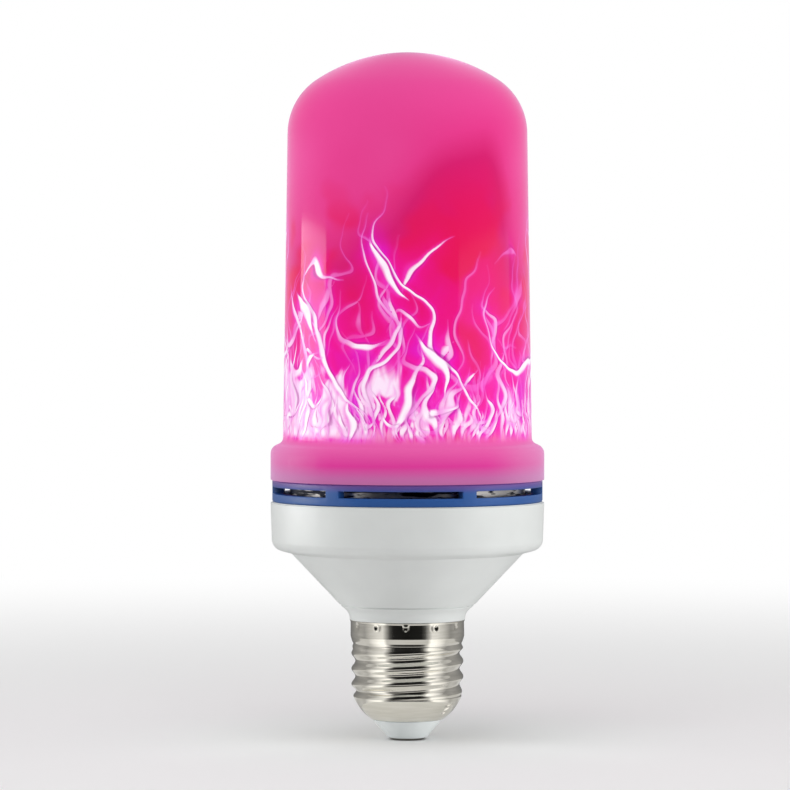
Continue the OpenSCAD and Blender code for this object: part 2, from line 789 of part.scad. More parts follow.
module neutral_lead() {
    low = z_spigot - wire_d / 2 - 2 * slip;
    color([0.10, 0.10, 0.11]) rotate(neutral_angle)
        wire([
            [neutral_out_r, 0, z_rim - neutral_drop], [neutral_out_r, 0, low], [neutral_in_r, 0, low],
            [neutral_in_r, 0, z_board]
        ]);
}

module led_leads() {
    color([0.85, 0.65, 0.10]) ring_of(led_lead_count, led_lead_r, rib_turn)
        translate([0, 0, z_board_top]) cylinder(d = wire_d, h = z_top_board - z_board_top, $fn = 32);
}

diffuser_cover();
vent_ring();
base_housing();
screw_shell();
cap_insulator();
centre_contact();
heat_sink_cup();
core_tube();
strip_board();
side_leds();
top_board();
top_leds();
core_screws();
driver_board();
board_screws();
filter_capacitor();
choke();
bridge_rectifier();
driver_chip();
controller_chip();
fusible_resistor();
live_lead();
neutral_lead();
led_leads();
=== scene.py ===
import math

import bpy
import numpy as np
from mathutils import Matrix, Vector


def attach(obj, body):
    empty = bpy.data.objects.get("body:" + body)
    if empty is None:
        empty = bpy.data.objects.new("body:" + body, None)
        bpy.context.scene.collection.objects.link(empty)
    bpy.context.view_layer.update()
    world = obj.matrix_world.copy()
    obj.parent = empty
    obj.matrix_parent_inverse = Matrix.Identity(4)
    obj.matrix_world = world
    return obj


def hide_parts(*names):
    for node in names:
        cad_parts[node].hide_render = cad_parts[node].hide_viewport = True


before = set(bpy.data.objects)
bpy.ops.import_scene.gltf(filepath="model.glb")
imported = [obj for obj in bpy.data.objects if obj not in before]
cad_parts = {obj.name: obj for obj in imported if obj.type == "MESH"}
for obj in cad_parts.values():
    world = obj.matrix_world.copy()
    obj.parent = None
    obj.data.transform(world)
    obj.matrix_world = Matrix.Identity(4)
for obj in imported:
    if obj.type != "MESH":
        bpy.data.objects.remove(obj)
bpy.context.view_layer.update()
mm = 0.001  # sizes below are in millimetres, as on the drawing of the bulb


# sRGB hex, as picked on screen, to the linear values that a shader takes
def linear(hexColour):
    parts = [int(hexColour[i:i + 2], 16) / 255 for i in (1, 3, 5)]
    return [c / 12.92 if c <= 0.04045 else ((c + 0.055) / 1.055) ** 2.4 for c in parts] + [1]


# Links each source, a socket or a node's first output, to the input of that name or number
def feed(node, links):
    for key, source in links.items():
        socket = source.outputs[0] if isinstance(source, bpy.types.Node) else source
        node.id_data.links.new(socket, node.inputs[key])


# Adds a node. Settings and links go to an input by its name or number, other settings to the node itself
def addNode(tree, kind, settings=None, links=None):
    node = tree.nodes.new("ShaderNode" + kind)
    for key, value in (settings or {}).items():
        if isinstance(key, int) or key in node.inputs:
            node.inputs[key].default_value = value
        else:
            setattr(node, key, value)
    feed(node, links or {})
    return node


easing = {"interpolation_type": "SMOOTHSTEP"}  # for a map range that starts and ends softly


def newMaterial(name, settings):
    material = bpy.data.materials.new(name)
    material.use_nodes = True
    tree = material.node_tree
    tree.nodes.clear()
    output = addNode(tree, "OutputMaterial")
    surface = addNode(tree, "BsdfPrincipled", settings)
    feed(output, {"Surface": surface})
    return material, tree, surface


def deselectAll():
    if bpy.context.object and bpy.context.object.mode != "OBJECT":
        bpy.ops.object.mode_set(mode="OBJECT")
    bpy.ops.object.select_all(action="DESELECT")


def makeActive(piece):
    deselectAll()
    piece.select_set(True)
    bpy.context.view_layer.objects.active = piece


# Arc through the plane of a profile, angles in degrees
def arc(centre, radius, start, end, steps):
    turns = [math.radians(start + (end - start) * i / steps) for i in range(steps + 1)]
    return [(centre[0] + radius * math.cos(t), centre[1] + radius * math.sin(t)) for t in turns]


# Profile from points (x, z) or (x, z, corner radius)
def rounded(points, steps=6):
    made = []
    for i, p in enumerate(points):
        if len(p) < 3:
            made.append(p[:2])
            continue
        a, b = np.array(points[i - 1][:2]), np.array(points[(i + 1) % len(points)][:2])
        c, radius = np.array(p[:2]), p[2]
        u, v = (a - c) / np.linalg.norm(a - c), (b - c) / np.linalg.norm(b - c)
        half = math.acos(max(-1, min(1, float(u @ v)))) / 2
        middle = c + (u + v) / np.linalg.norm(u + v) * radius / math.sin(half)
        start, end = c + u * radius / math.tan(half) - middle, c + v * radius / math.tan(half) - middle
        t0, t1 = math.atan2(start[1], start[0]), math.atan2(end[1], end[0])
        sweep = (t1 - t0 + math.pi) % (2 * math.pi) - math.pi
        for k in range(steps + 1):
            t = t0 + sweep * k / steps
            made.append((middle[0] + radius * math.cos(t), middle[1] + radius * math.sin(t)))
    return made


# The same profile with points added where they are further apart than gap
def finer(points, gap):
    made = [points[0]]
    for p, q in zip(points, points[1:]):
        count = max(1, math.ceil(math.dist(p, q) / gap))
        made += [(p[0] + (q[0] - p[0]) * k / count, p[1] + (q[1] - p[1]) * k / count)
                 for k in range(1, count + 1)]
    return made


# Draws a line point by point and leaves it selected in edit mode
def drawLine(name, points):
    deselectAll()
    bpy.ops.mesh.primitive_plane_add(size=mm)
    piece = bpy.context.object
    piece.name = piece.data.name = name
    bpy.ops.object.mode_set(mode="EDIT")
    bpy.ops.mesh.select_all(action="SELECT")
    bpy.ops.mesh.merge(type="CENTER")
    bpy.ops.transform.translate(value=[a * mm for a in points[0]])
    for p, q in zip(points, points[1:]):
        step = [(b - a) * mm for a, b in zip(p, q)]
        bpy.ops.mesh.extrude_region_move(TRANSFORM_OT_translate={"value": step})
    bpy.ops.mesh.select_all(action="SELECT")
    return piece


# Turns a piece on the lathe: its profile is drawn and spun round the axis
def lathe(name, profile, steps, smoothAngle=35):
    piece = drawLine(name, [(x, 0, z) for x, z in profile])
    bpy.ops.mesh.spin(steps=steps, angle=2 * math.pi, center=(0, 0, 0), axis=(0, 0, 1))
    bpy.ops.mesh.select_all(action="SELECT")
    bpy.ops.mesh.remove_doubles(threshold=0.002 * mm)
    bpy.ops.mesh.normals_make_consistent(inside=False)
    bpy.ops.object.mode_set(mode="OBJECT")
    bpy.ops.object.shade_smooth_by_angle(angle=math.radians(smoothAngle))
    return piece


# Copy of a CAD piece with its sharp edges broken, as a mould or a press leaves them
def softCopy(node, name, bevelWidth):
    piece = bpy.data.objects.new(name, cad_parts[node].data.copy())
    piece.data.name = name
    piece.data.materials.clear()
    bpy.context.scene.collection.objects.link(piece)
    makeActive(piece)
    bpy.ops.object.mode_set(mode="EDIT")
    bpy.ops.mesh.select_all(action="SELECT")
    bpy.ops.mesh.remove_doubles(threshold=0.002 * mm)
    bpy.ops.mesh.customdata_custom_splitnormals_clear()
    bpy.ops.mesh.dissolve_limited(angle_limit=math.radians(0.5))
    bpy.ops.object.mode_set(mode="OBJECT")
    bpy.ops.object.modifier_add(type="BEVEL")
    bevel = piece.modifiers[-1]
    bevel.width = bevelWidth * mm
    bevel.segments = 2
    bevel.limit_method = "ANGLE"
    bevel.angle_limit = math.radians(40)
    bpy.ops.object.modifier_apply(modifier=bevel.name)
    bpy.ops.object.shade_smooth_by_angle(angle=math.radians(35))
    return piece


def finishPiece(piece, material, slotName, *nodes):
    piece.data.materials.clear()
    piece.data.materials.append(material)
    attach(piece, "root")
    if nodes:
        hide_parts(*nodes)
    print("made", piece.name, len(piece.data.polygons), "faces")


def pointsOf(piece):
    places = np.empty(len(piece.data.vertices) * 3, np.float32)
    piece.data.vertices.foreach_get("co", places)
    return places.reshape(-1, 3) / mm


def movePoints(piece, places):
    piece.data.vertices.foreach_set("co", (places * mm).astype(np.float32).ravel())
    piece.data.update()


def smoothStep(t):
    t = np.clip(t, 0, 1)
    return t * t * (3 - 2 * t)


# Heights of the joints on the bulb, from the flat end of the contact
levels = {
    "insulator": 0.5, "shell": 4.8, "thread": 10.1, "skirt": 22.1, "rim": 28.1, "cone": 31.8,
    "shoulder": 43.7, "wall": 44.9, "ring": 55.75, "collar": 60.85, "collarEdge": 68.35,
    "tube": 69.65, "knuckle": 141.65,
}

cover = {
    "collarRadius": 32, "collarCorner": 2.2, "baseRadius": 29.1, "topRadius": 28, "footFillet": 1.6,
    "crownRadius": 38.5, "knuckleRadius": 15, "wall": 1.5, "collarWall": 1.8, "turns": 400,
    "row": 0.46,  # height of a row of faces where the flames show
    "flameTop": 136,
}


def coverProfile():
    c, top = cover, levels["knuckle"]
    drop = math.sqrt((c["crownRadius"] - c["knuckleRadius"]) ** 2
                     - (c["topRadius"] - c["knuckleRadius"]) ** 2)
    rise = c["crownRadius"] - drop
    turn = math.degrees(math.atan2(drop, c["topRadius"] - c["knuckleRadius"]))
    knuckle = (c["topRadius"] - c["knuckleRadius"], top)
    crown = (0, top + rise - c["crownRadius"])
    foot = rounded([
        (c["collarRadius"] - c["collarWall"], levels["collar"]),
        (c["collarRadius"], levels["collar"], 0.15),
        (c["collarRadius"], levels["collarEdge"], c["collarCorner"]),
        (c["baseRadius"], levels["tube"], c["footFillet"]),
        (c["topRadius"], top),
    ])
    share = (c["flameTop"] - levels["tube"]) / (top - levels["tube"])
    band = (c["baseRadius"] + (c["topRadius"] - c["baseRadius"]) * share, c["flameTop"])
    outside = finer(foot[1:-1], 0.8) + finer([foot[-2], band], c["row"])[1:]
    outside += [(c["topRadius"], top)] + arc(knuckle, c["knuckleRadius"], 0, turn, 14)[1:]
    outside += arc(crown, c["crownRadius"], turn, 90, 14)[1:]
    inside = arc(crown, c["crownRadius"] - c["wall"], 90, turn, 6)
    inside += arc(knuckle, c["knuckleRadius"] - c["wall"], turn, 0, 6)[1:]
    inside += [(c["baseRadius"] - c["wall"], levels["tube"] + 1),
               (c["collarRadius"] - c["collarWall"], levels["collarEdge"] - 1.9),
               (c["collarRadius"] - c["collarWall"], levels["collar"])]
    return [foot[0]] + outside + inside


# Flames round the tube, made of strokes that swell and taper. Lengths are in millimetres
flames = {
    "tongues": {"count": 8, "height": (38, 68), "fat": 0.9, "seed": 5},
    "licks": {"count": 16, "height": (13, 32), "fat": 0.55, "seed": 4},
    "strands": {"count": 96, "height": (6, 22), "fat": 0.36, "seed": 9},
    "wisps": {"count": 11, "height": (44, 68), "fat": 0.3, "seed": 6},
    "shards": 8,  # short strokes on the edges of each tongue
    "thinnest": 0.16,  # half width at the end of a stroke
    "glow": 4.2,  # how far the colour spreads round a stroke
    "calm": (10, 35),  # stretch of the girth, right of the front, where the flames are faint
    "calmHeat": {"tongues": 0.34, "licks": 0.55},
    "reach": 9,  # how far round a stroke its faces are looked for
    "nothing": 12,  # distance in half widths that stands for no stroke at all
    "coolCost": 1.6, "coldCost": 40, "cold": 0.03,  # what keeps a cool stroke from covering a hot one
    "below": 3,  # faces further than this below the foot of the flames stay plain
    "skin": 27.4,  # faces inside this radius are the inside of the cover
}
# The strokes of each kind: points as shares of its height, across it and up it from the middle of its foot,
# then how far along the stroke is fattest, how fat it is there, and how hot
flameShapes = {
    "tongues": [
        ([(-.16, 0), (-.2, .1), (-.13, .24), (-.03, .36), (-.04, .49), (.06, .63), (.13, .77), (.12, .89),
          (.16, 1)], .42, .4, .72),
        ([(.14, 0), (.2, .12), (.17, .26), (.1, .38), (.14, .52), (.2, .64), (.18, .77), (.16, .9)],
         .25, .42, .68),
        ([(.03, .5), (.05, .57), (.1, .66), (.15, .75)], .6, 1.2, 1),
        ([(-.1, .14), (-.07, .24), (0, .33), (.05, .42)], .55, 1.1, 1),
        ([(.13, .13), (.1, .21), (.11, .3)], .5, .9, .9),
        ([(-.03, .33), (-.11, .29), (-.23, .28), (-.33, .32), (-.4, .41), (-.41, .52), (-.37, .62)],
         .12, .8, .85),
        ([(.13, .83), (.06, .835), (-.01, .8), (-.11, .785)], .35, .55, .8),
        ([(.13, .4), (.2, .35), (.28, .37), (.33, .47), (.32, .58)], .2, .5, .6),
        ([(.02, .02), (.04, .13), (-.02, .23), (.04, .33), (.03, .46)], .4, .35, .5),
        ([(.22, .02), (.26, .16), (.22, .28), (.27, .42)], .4, .3, .35),
        ([(-.04, .45), (.02, .43), (.09, .46), (.13, .42)], .5, .3, .5),
    ],
    "licks": [
        ([(-.14, 0), (-.17, .17), (-.03, .38), (-.05, .62), (.06, .82), (.1, 1)], .45, 1.1, 1),
        ([(.18, 0), (.23, .2), (.16, .4), (.17, .6), (.12, .86)], .35, .7, .8),
        ([(.17, .38), (.28, .3), (.4, .36), (.43, .56)], .2, .6, .7),
        ([(-.12, .24), (-.22, .18), (-.34, .24), (-.38, .42)], .3, .5, .6),
    ],
    "strands": [
        ([(0, 0), (.06, .28), (-.04, .56), (.05, .8), (.03, 1)], .3, 1, .8),
        ([(.03, .3), (.13, .5), (.15, .8)], .3, .6, .5),
    ],
    "wisps": [
        ([(-.2, .1), (-.23, .2), (-.15, .3), (-.18, .42), (-.09, .5), (-.11, .62), (-.03, .7), (-.04, .84),
          (.03, 1)], .5, 1, .36),
        ([(.03, 1), (.05, .86), (.11, .78), (.09, .66), (.16, .57), (.14, .44), (.21, .33), (.17, .2),
          (.23, .1)], .4, .9, .34),
        ([(-.1, .3), (-.04, .4), (-.06, .5), (.02, .58), (.04, .72)], .5, .8, .3),
        ([(.08, .26), (.03, .36), (.08, .45), (.07, .56)], .5, .7, .28),
        ([(-.16, .44), (-.22, .5), (-.21, .6), (-.25, .68)], .4, .6, .26),
    ],
}
flameLayers = {"strand": 0.85, "edge": 1.0, "lens": 1.0}  # from the back to the front, and how strong
girth = 2 * math.pi * 28.6  # round the middle of the tube


# Smooth curve through the points of a stroke, as evenly spread samples
def strokeCurve(points, samples=64):
    p = np.array([points[0]] + list(points) + [points[-1]], float)
    t = np.linspace(0, len(points) - 1.0001, samples)
    k, f = t.astype(int), (t % 1)[:, None]
    a, b, c, d = p[k], p[k + 1], p[k + 2], p[k + 3]
    return 0.5 * (2 * b + (c - a) * f + (2 * a - 5 * b + 4 * c - d) * f ** 2
                  + (3 * b - a - 3 * c + d) * f ** 3)


# Short broken strokes that spring from the edges of a tongue and cross it
def shardLines(edges, chance):
    made = []
    for i in range(flames["shards"]):
        edge = edges[i % len(edges)]
        start = edge["curve"][int(len(edge["curve"]) * chance.uniform(0.1, 0.62))]
        length, slant = chance.uniform(4, 13), math.radians(chance.uniform(-26, 34))
        bend = chance.normal(0, 0.12)
        turns = [slant + bend * k for k in range(4)]
        points = [start + length * np.array([math.sin(turn) * k / 3, math.cos(turn) * k / 3])
                  for k, turn in enumerate(turns)]
        t = np.linspace(0, 1, 24)
        swell = np.sin(math.pi * t ** chance.uniform(0.6, 1.4))
        made.append({"layer": ("strand", "lens")[i % 2], "place": edge["place"],
                     "curve": strokeCurve(points, 24),
                     "half": flames["thinnest"] + chance.uniform(0.1, 0.5) * swell ** 2,
                     "heat": chance.uniform(0.4, 1) * np.clip(0.25 + swell, 0, 1) * edge["heat"].max()})
    return made


def flameLines():
    lines = []
    for kind in ("tongues", "licks", "strands", "wisps"):
        f = flames[kind]
        chance = np.random.default_rng(f["seed"])
        for i in range(f["count"]):
            place = (i + chance.uniform(-0.3, 0.3)) * girth / f["count"]
            height, side = chance.uniform(*f["height"]), chance.choice([-1, 1])
            lean = chance.uniform(-0.12, 0.12)
            for k, (path, fattest, fatShare, heatShare) in enumerate(flameShapes[kind]):
                if k and chance.random() < 0.18:
                    continue
                points = []
                for x, y in path:
                    x, y = x + chance.normal(0, 0.014), y + chance.normal(0, 0.012) * (y > 0)
                    points.append((side * x * height + lean * y * height, y * height))
                curve = strokeCurve(points)
                t = np.linspace(0, 1, len(curve))
                swell = np.where(t < fattest, t / fattest, (1 - t) / (1 - fattest))
                beat = 1 + 0.25 * np.sin(8 * t + 6 * chance.random())
                fat = fatShare * f["fat"] * chance.uniform(0.6, 1.15)
                half = flames["thinnest"] + fat * smoothStep(swell) ** 2 * beat
                heat = (0.4 + 0.6 * smoothStep(swell * 1.2) * beat) * smoothStep((1 - t) * 4)
                heat *= 1 + 0.25 * np.sin(15 * t + 6 * chance.random())
                heat = heat * smoothStep(t * 7 + 0.1) * heatShare * chance.uniform(0.75, 1.1)
                heat = np.clip(heat, 0, 1)
                if flames["calm"][0] < place < flames["calm"][1]:
                    heat *= flames["calmHeat"].get(kind, 1)
                layer = "strand" if kind in ("strands", "wisps") else "edge" if k < 2 else "lens"
                lines.append({"layer": layer, "place": place, "curve": curve, "half": half, "heat": heat})
                if kind == "tongues" and k == 1:
                    lines += shardLines(lines[-2:], chance)
    return lines


# Paints the faces of the cover. Strokes lie in three layers, and each face keeps its nearest one of each:
# at its corners, how many half widths away the middle of the stroke is, to one side or the other, and how hot
# the stroke is there. Each point keeps the glow that all of them shed
def paintFlames(piece):
    mesh = piece.data
    places = pointsOf(piece)
    around = np.arctan2(places[:, 0], -places[:, 1]) / (2 * math.pi) * girth
    up = places[:, 2] - levels["tube"]
    outer = np.hypot(places[:, 0], places[:, 1]) > flames["skin"]
    # A slow sway of 10 to 30 mm and a small flicker, so that no two flames are alike
    turn = around / girth * 2 * math.pi
    around, up = (
        around + 1.3 * np.sin(up / 5.2 + 4 * turn) + 0.7 * np.sin(up / 2.6 - 7 * turn)
        + 0.16 * np.sin(up / 0.9 + 19 * turn),
        up + 0.9 * np.sin(11 * turn + up / 6) + 0.12 * np.sin(43 * turn - up / 1.3))
    start, total = np.empty(len(mesh.polygons), int), np.empty(len(mesh.polygons), int)
    mesh.polygons.foreach_get("loop_start", start)
    mesh.polygons.foreach_get("loop_total", total)
    point = np.empty(len(mesh.loops), int)
    mesh.loops.foreach_get("vertex_index", point)
    corners = start[total == 4][:, None] + np.arange(4)
    shown = outer[point[corners]].all(1) & (up[point[corners]] > -flames["below"]).all(1)
    corners = corners[shown]
    points = point[corners]
    nothing = float(flames["nothing"])
    best = {name: np.full(len(corners), nothing) for name in flameLayers}
    across = {name: np.full(len(mesh.loops), nothing) for name in flameLayers}
    heats = {name: np.zeros(len(mesh.loops)) for name in flameLayers}
    glow = np.zeros(len(places))
    for line in flameLines():
        offset = (around - line["place"] + girth / 2) % girth - girth / 2
        low, high = line["curve"].min(0) - flames["reach"], line["curve"].max(0) + flames["reach"]
        close = outer & (offset > low[0]) & (offset < high[0]) & (up > low[1]) & (up < high[1])
        faces = np.flatnonzero(close[points].all(1))
        close = np.flatnonzero(close)
        if not len(faces):
            continue
        run = np.gradient(line["curve"], axis=0)  # which way the stroke runs
        run /= np.linalg.norm(run, axis=1)[:, None]
        gap = np.hypot(offset[close, None] - line["curve"][None, :, 0],
                       up[close, None] - line["curve"][None, :, 1])
        nearest = gap.argmin(1)
        dx, dy = offset[close] - line["curve"][nearest, 0], up[close] - line["curve"][nearest, 1]
        beside = dx * run[nearest, 1] - dy * run[nearest, 0]
        beyond = np.abs(dx * run[nearest, 0] + dy * run[nearest, 1])
        half = line["half"][nearest]
        ratio, hot = np.full(len(places), nothing), np.zeros(len(places))
        ratio[close] = beside / half
        hot[close] = line["heat"][nearest] * np.exp(-np.maximum(beyond - 0.4, 0) ** 2)
        glow[close] += np.exp(-(gap.min(1) / flames["glow"]) ** 2) * hot[close] * np.minimum(half, 1)
        # The lower the score, the better the stroke covers the face: broad and hot wins over thin and cool
        heat = hot[points[faces]].mean(1)
        score = np.abs(ratio[points[faces]]).mean(1)
        score += flames["coolCost"] * (1 - heat) + flames["coldCost"] * (heat < flames["cold"])
        layer = line["layer"]
        better = score < best[layer][faces]
        faces, score = faces[better], score[better]
        best[layer][faces] = score
        across[layer][corners[faces]] = ratio[points[faces]]
        heats[layer][corners[faces]] = hot[points[faces]]
    for name in flameLayers:
        for part, values in (("Across", across[name]), ("Heat", heats[name])):
            made = mesh.attributes.new(name + part, "FLOAT", "CORNER")
            made.data.foreach_set("value", np.clip(values, -nothing, nothing).astype(np.float32))
    made = mesh.attributes.new("flameGlow", "FLOAT", "POINT")
    made.data.foreach_set("value", (1 - np.exp(-1.3 * glow)).astype(np.float32))


# Where things show on the cover, by height in millimetres: not at the first one, fully at the second
coverZones = {"belowDome": (150, 132), "onCollar": (71, 68), "inBand": (136, 108), "offFoot": (69.6, 73),
              "lowDown": (100, 78)}
coverColours = {
    # From the foot of the collar, at 60 mm, to the top of the dome, at 160 mm
    "ground": [(0.0, "#AE6A96"), (0.022, "#BC66A0"), (0.05, "#D63A94"), (0.085, "#E25AA4"),
               (0.115, "#EA62B0"), (0.17, "#EE1490"), (0.4, "#E60070"), (0.55, "#DC0062"),
               (0.65, "#D2106A"), (0.77, "#E23488"), (1.0, "#E84E9C")],
    # The pale colour of the collar's two ends is painted sheen
    "collarPaintedPaleEnds": "#D4A8CC", "redPatch": "#E2004E", "shed": "#F400AA", "violetPatch": "#DC14DC",
    "hazeEdge": "#F440C4", "haze": "#FFE6FC", "streak": "#FBB4E0",
    # What one stroke is made of
    "halo": "#EE2CDC", "plum": "#8E1078", "body": "#F650CC", "coolLine": "#F47CE4", "hotLine": "#FFF6FF",
    "outline": "#E6CDEE",
}


# Milky polycarbonate, injection moulded with a satin face: the light inside fills it with colour,
# its clear top layer still gives soft window reflections, and it pales towards the outline
def milkyPolycarbonate():
    material, tree, surface = newMaterial("milkyPolycarbonateMoulded", {
        "Emission Strength": 0.62, "Roughness": 0.45, "IOR": 1.58, "Specular IOR Level": 0.0,
        "Coat Roughness": 0.06, "Coat IOR": 1.5, "Sheen Weight": 0.9, "Sheen Roughness": 0.3,
        "Sheen Tint": linear(coverColours["outline"])})
    place = addNode(tree, "TexCoord").outputs["Object"]
    parts = addNode(tree, "SeparateXYZ", links={0: place})
    sideways, height = parts.outputs["X"], parts.outputs["Z"]
    zones = {name: addNode(tree, "MapRange", {**easing, "From Min": low * mm, "From Max": high * mm},
                           {"Value": height}) for name, (low, high) in coverZones.items()}
    offFoot = zones["offFoot"]

    # The crimson rises further on one side of the bulb than on the other
    slow = addNode(tree, "TexNoise", {"Scale": 1 / (26 * mm), "Detail": 1.0}, {"Vector": place})
    uneven = addNode(tree, "MapRange", {
        "From Min": 0.3, "From Max": 0.7, "To Min": 7 * mm, "To Max": -7 * mm, "clamp": False},
        {"Value": slow})
    tilt = addNode(tree, "MapRange", {
        "From Min": -28 * mm, "From Max": 22 * mm, "To Min": 24 * mm, "To Max": -14 * mm},
        {"Value": sideways})
    farSide = addNode(tree, "MapRange", {
        **easing, "From Min": 17 * mm, "From Max": 27.5 * mm, "To Max": 34 * mm}, {"Value": sideways})
    rises = addNode(tree, "Math", {"operation": "ADD"}, {0: uneven, 1: tilt})
    rises = addNode(tree, "Math", {"operation": "ADD"}, {0: rises, 1: farSide})
    upHigh = addNode(tree, "MapRange", {"From Min": 84 * mm, "From Max": 108 * mm}, {"Value": height})
    upHigh = addNode(tree, "Math", {"operation": "MULTIPLY"}, {0: upHigh, 1: zones["belowDome"]})
    rises = addNode(tree, "Math", {"operation": "MULTIPLY"}, {0: rises, 1: upHigh})
    shifted = addNode(tree, "Math", {"operation": "ADD"}, {0: height, 1: rises})
    share = addNode(tree, "MapRange", {"From Min": 60 * mm, "From Max": 160 * mm}, {"Value": shifted})
    ground = addNode(tree, "ValToRGB", links={0: share})
    stops = coverColours["ground"]
    ramp = ground.color_ramp.elements
    while len(ramp) < len(stops):
        ramp.new(0.5)
    for stop, (at, colour) in zip(ramp, stops):
        stop.position = at
        stop.color = linear(colour)

    # Painted sheen: the collar is painted paler towards its two ends, to the left and right of the front
    aside = addNode(tree, "Math", {"operation": "ABSOLUTE"}, {0: sideways})
    paintedPaleEnds = addNode(tree, "MapRange", {**easing, "From Min": 17 * mm, "From Max": 32 * mm, "To Max": 0.36},
                   {"Value": aside})
    paintedPaleEnds = addNode(tree, "Math", {"operation": "MULTIPLY"}, {0: paintedPaleEnds, 1: zones["onCollar"]})

    # Soft patches of hotter and cooler pink, about 17 mm across
    patch = addNode(tree, "TexNoise", {"Scale": 1 / (17 * mm), "Detail": 2.0, "Roughness": 0.5},
                    {"Vector": place})
    band = addNode(tree, "Math", {"operation": "MULTIPLY"}, {0: zones["inBand"], 1: offFoot})
    redPatch = addNode(tree, "MapRange", {**easing, "From Min": 0.5, "From Max": 0.62}, {"Value": patch})
    redShare = addNode(tree, "Math", {"operation": "MULTIPLY"}, {0: redPatch, 1: band})

    # Magenta that the strokes shed, then violet close to them
    shed = addNode(tree, "Attribute", {"attribute_name": "flameGlow"}).outputs["Fac"]
    shedShare = addNode(tree, "Math", {"operation": "MULTIPLY"}, {0: shed, 1: offFoot})
    violetPatch = addNode(tree, "MapRange", {**easing, "From Min": 0.5, "From Max": 0.36}, {"Value": patch})
    violetShare = addNode(tree, "Math", {"operation": "MULTIPLY"}, {0: violetPatch, 1: shedShare})

    # White haze low down, where the tongues crowd together
    hazePlace = addNode(tree, "Mapping", {"Scale": (1, 1, 0.5)}, {"Vector": place})
    haze = addNode(tree, "TexNoise", {"Scale": 1 / (7 * mm), "Detail": 3.0, "Distortion": 0.8},
                   {"Vector": hazePlace})
    hazeEdge = addNode(tree, "MapRange", {"From Min": 0.0, "From Max": 1.0, "To Min": 0.78, "To Max": 0.42},
                       {"Value": zones["lowDown"]})
    hazeSide = addNode(tree, "MapRange", {
        "From Min": -20 * mm, "From Max": 18 * mm, "To Min": -0.1, "To Max": 0.09}, {"Value": sideways})
    hazeEdge = addNode(tree, "Math", {"operation": "ADD"}, {0: hazeEdge, 1: hazeSide})
    hazeOver = addNode(tree, "Math", {"operation": "SUBTRACT"}, {0: haze, 1: hazeEdge})
    hazeShare = addNode(tree, "MapRange", {**easing, "From Min": 0.0, "From Max": 0.2, "To Max": 0.85},
                        {"Value": hazeOver})
    hazeShare = addNode(tree, "Math", {"operation": "MULTIPLY"}, {0: hazeShare, 1: offFoot})
    hazeEdgeShare = addNode(tree, "MapRange", {"From Min": 0.0, "From Max": 0.4, "To Max": 0.85},
                            {"Value": hazeShare})
    hazeMiddle = addNode(tree, "MapRange", {**easing, "From Min": 0.25, "From Max": 0.85},
                         {"Value": hazeShare})

    # Upright streaks just above the foot, where the strands run together
    streakPlace = addNode(tree, "Mapping", {"Scale": (1, 1, 0.22)}, {"Vector": place})
    streak = addNode(tree, "TexNoise", {"Scale": 1 / (1.7 * mm), "Detail": 2.0, "Distortion": 0.4},
                     {"Vector": streakPlace})
    atFoot = addNode(tree, "MapRange", {
        **easing, "From Min": 88 * mm, "From Max": 71 * mm, "To Min": 1.0, "To Max": 0.42}, {"Value": height})
    streakSide = addNode(tree, "Math", {"operation": "MULTIPLY", 1: 0.5}, {0: hazeSide})
    streakEdge = addNode(tree, "Math", {"operation": "ADD"}, {0: atFoot, 1: streakSide})
    streak = addNode(tree, "Math", {"operation": "SUBTRACT"}, {0: streak, 1: streakEdge})
    streak = addNode(tree, "MapRange", {**easing, "From Min": 0.0, "From Max": 0.16, "To Max": 0.7},
                     {"Value": streak})
    streak = addNode(tree, "Math", {"operation": "MULTIPLY"}, {0: streak, 1: offFoot})

    colour = ground
    overlays = {"collarPaintedPaleEnds": paintedPaleEnds, "redPatch": redShare, "shed": shedShare, "violetPatch": violetShare,
                "hazeEdge": hazeEdgeShare, "haze": hazeMiddle, "streak": streak}
    for name, share in overlays.items():
        colour = addNode(tree, "Mix", {"data_type": "RGBA", 7: linear(coverColours[name])},
                         {0: share, 6: colour}).outputs[2]

    # The strokes, from the back to the front: a violet halo, a thin plum line of painted shade down one side
    # for depth, the pale body of the flame on the other, then a line that is lilac where cool and white where
    # hot
    for layer, strength in flameLayers.items():
        across = addNode(tree, "Attribute", {"attribute_name": layer + "Across"}).outputs["Fac"]
        heat = addNode(tree, "Attribute", {"attribute_name": layer + "Heat"}).outputs["Fac"]
        heat = addNode(tree, "Math", {"operation": "MULTIPLY"}, {0: heat, 1: offFoot})
        away = addNode(tree, "Math", {"operation": "ABSOLUTE"}, {0: across})
        halo = addNode(tree, "MapRange", {
            **easing, "From Min": 4.5, "From Max": 0.8, "To Max": 0.4 * strength}, {"Value": away})
        halo = addNode(tree, "Math", {"operation": "MULTIPLY"}, {0: halo, 1: heat})
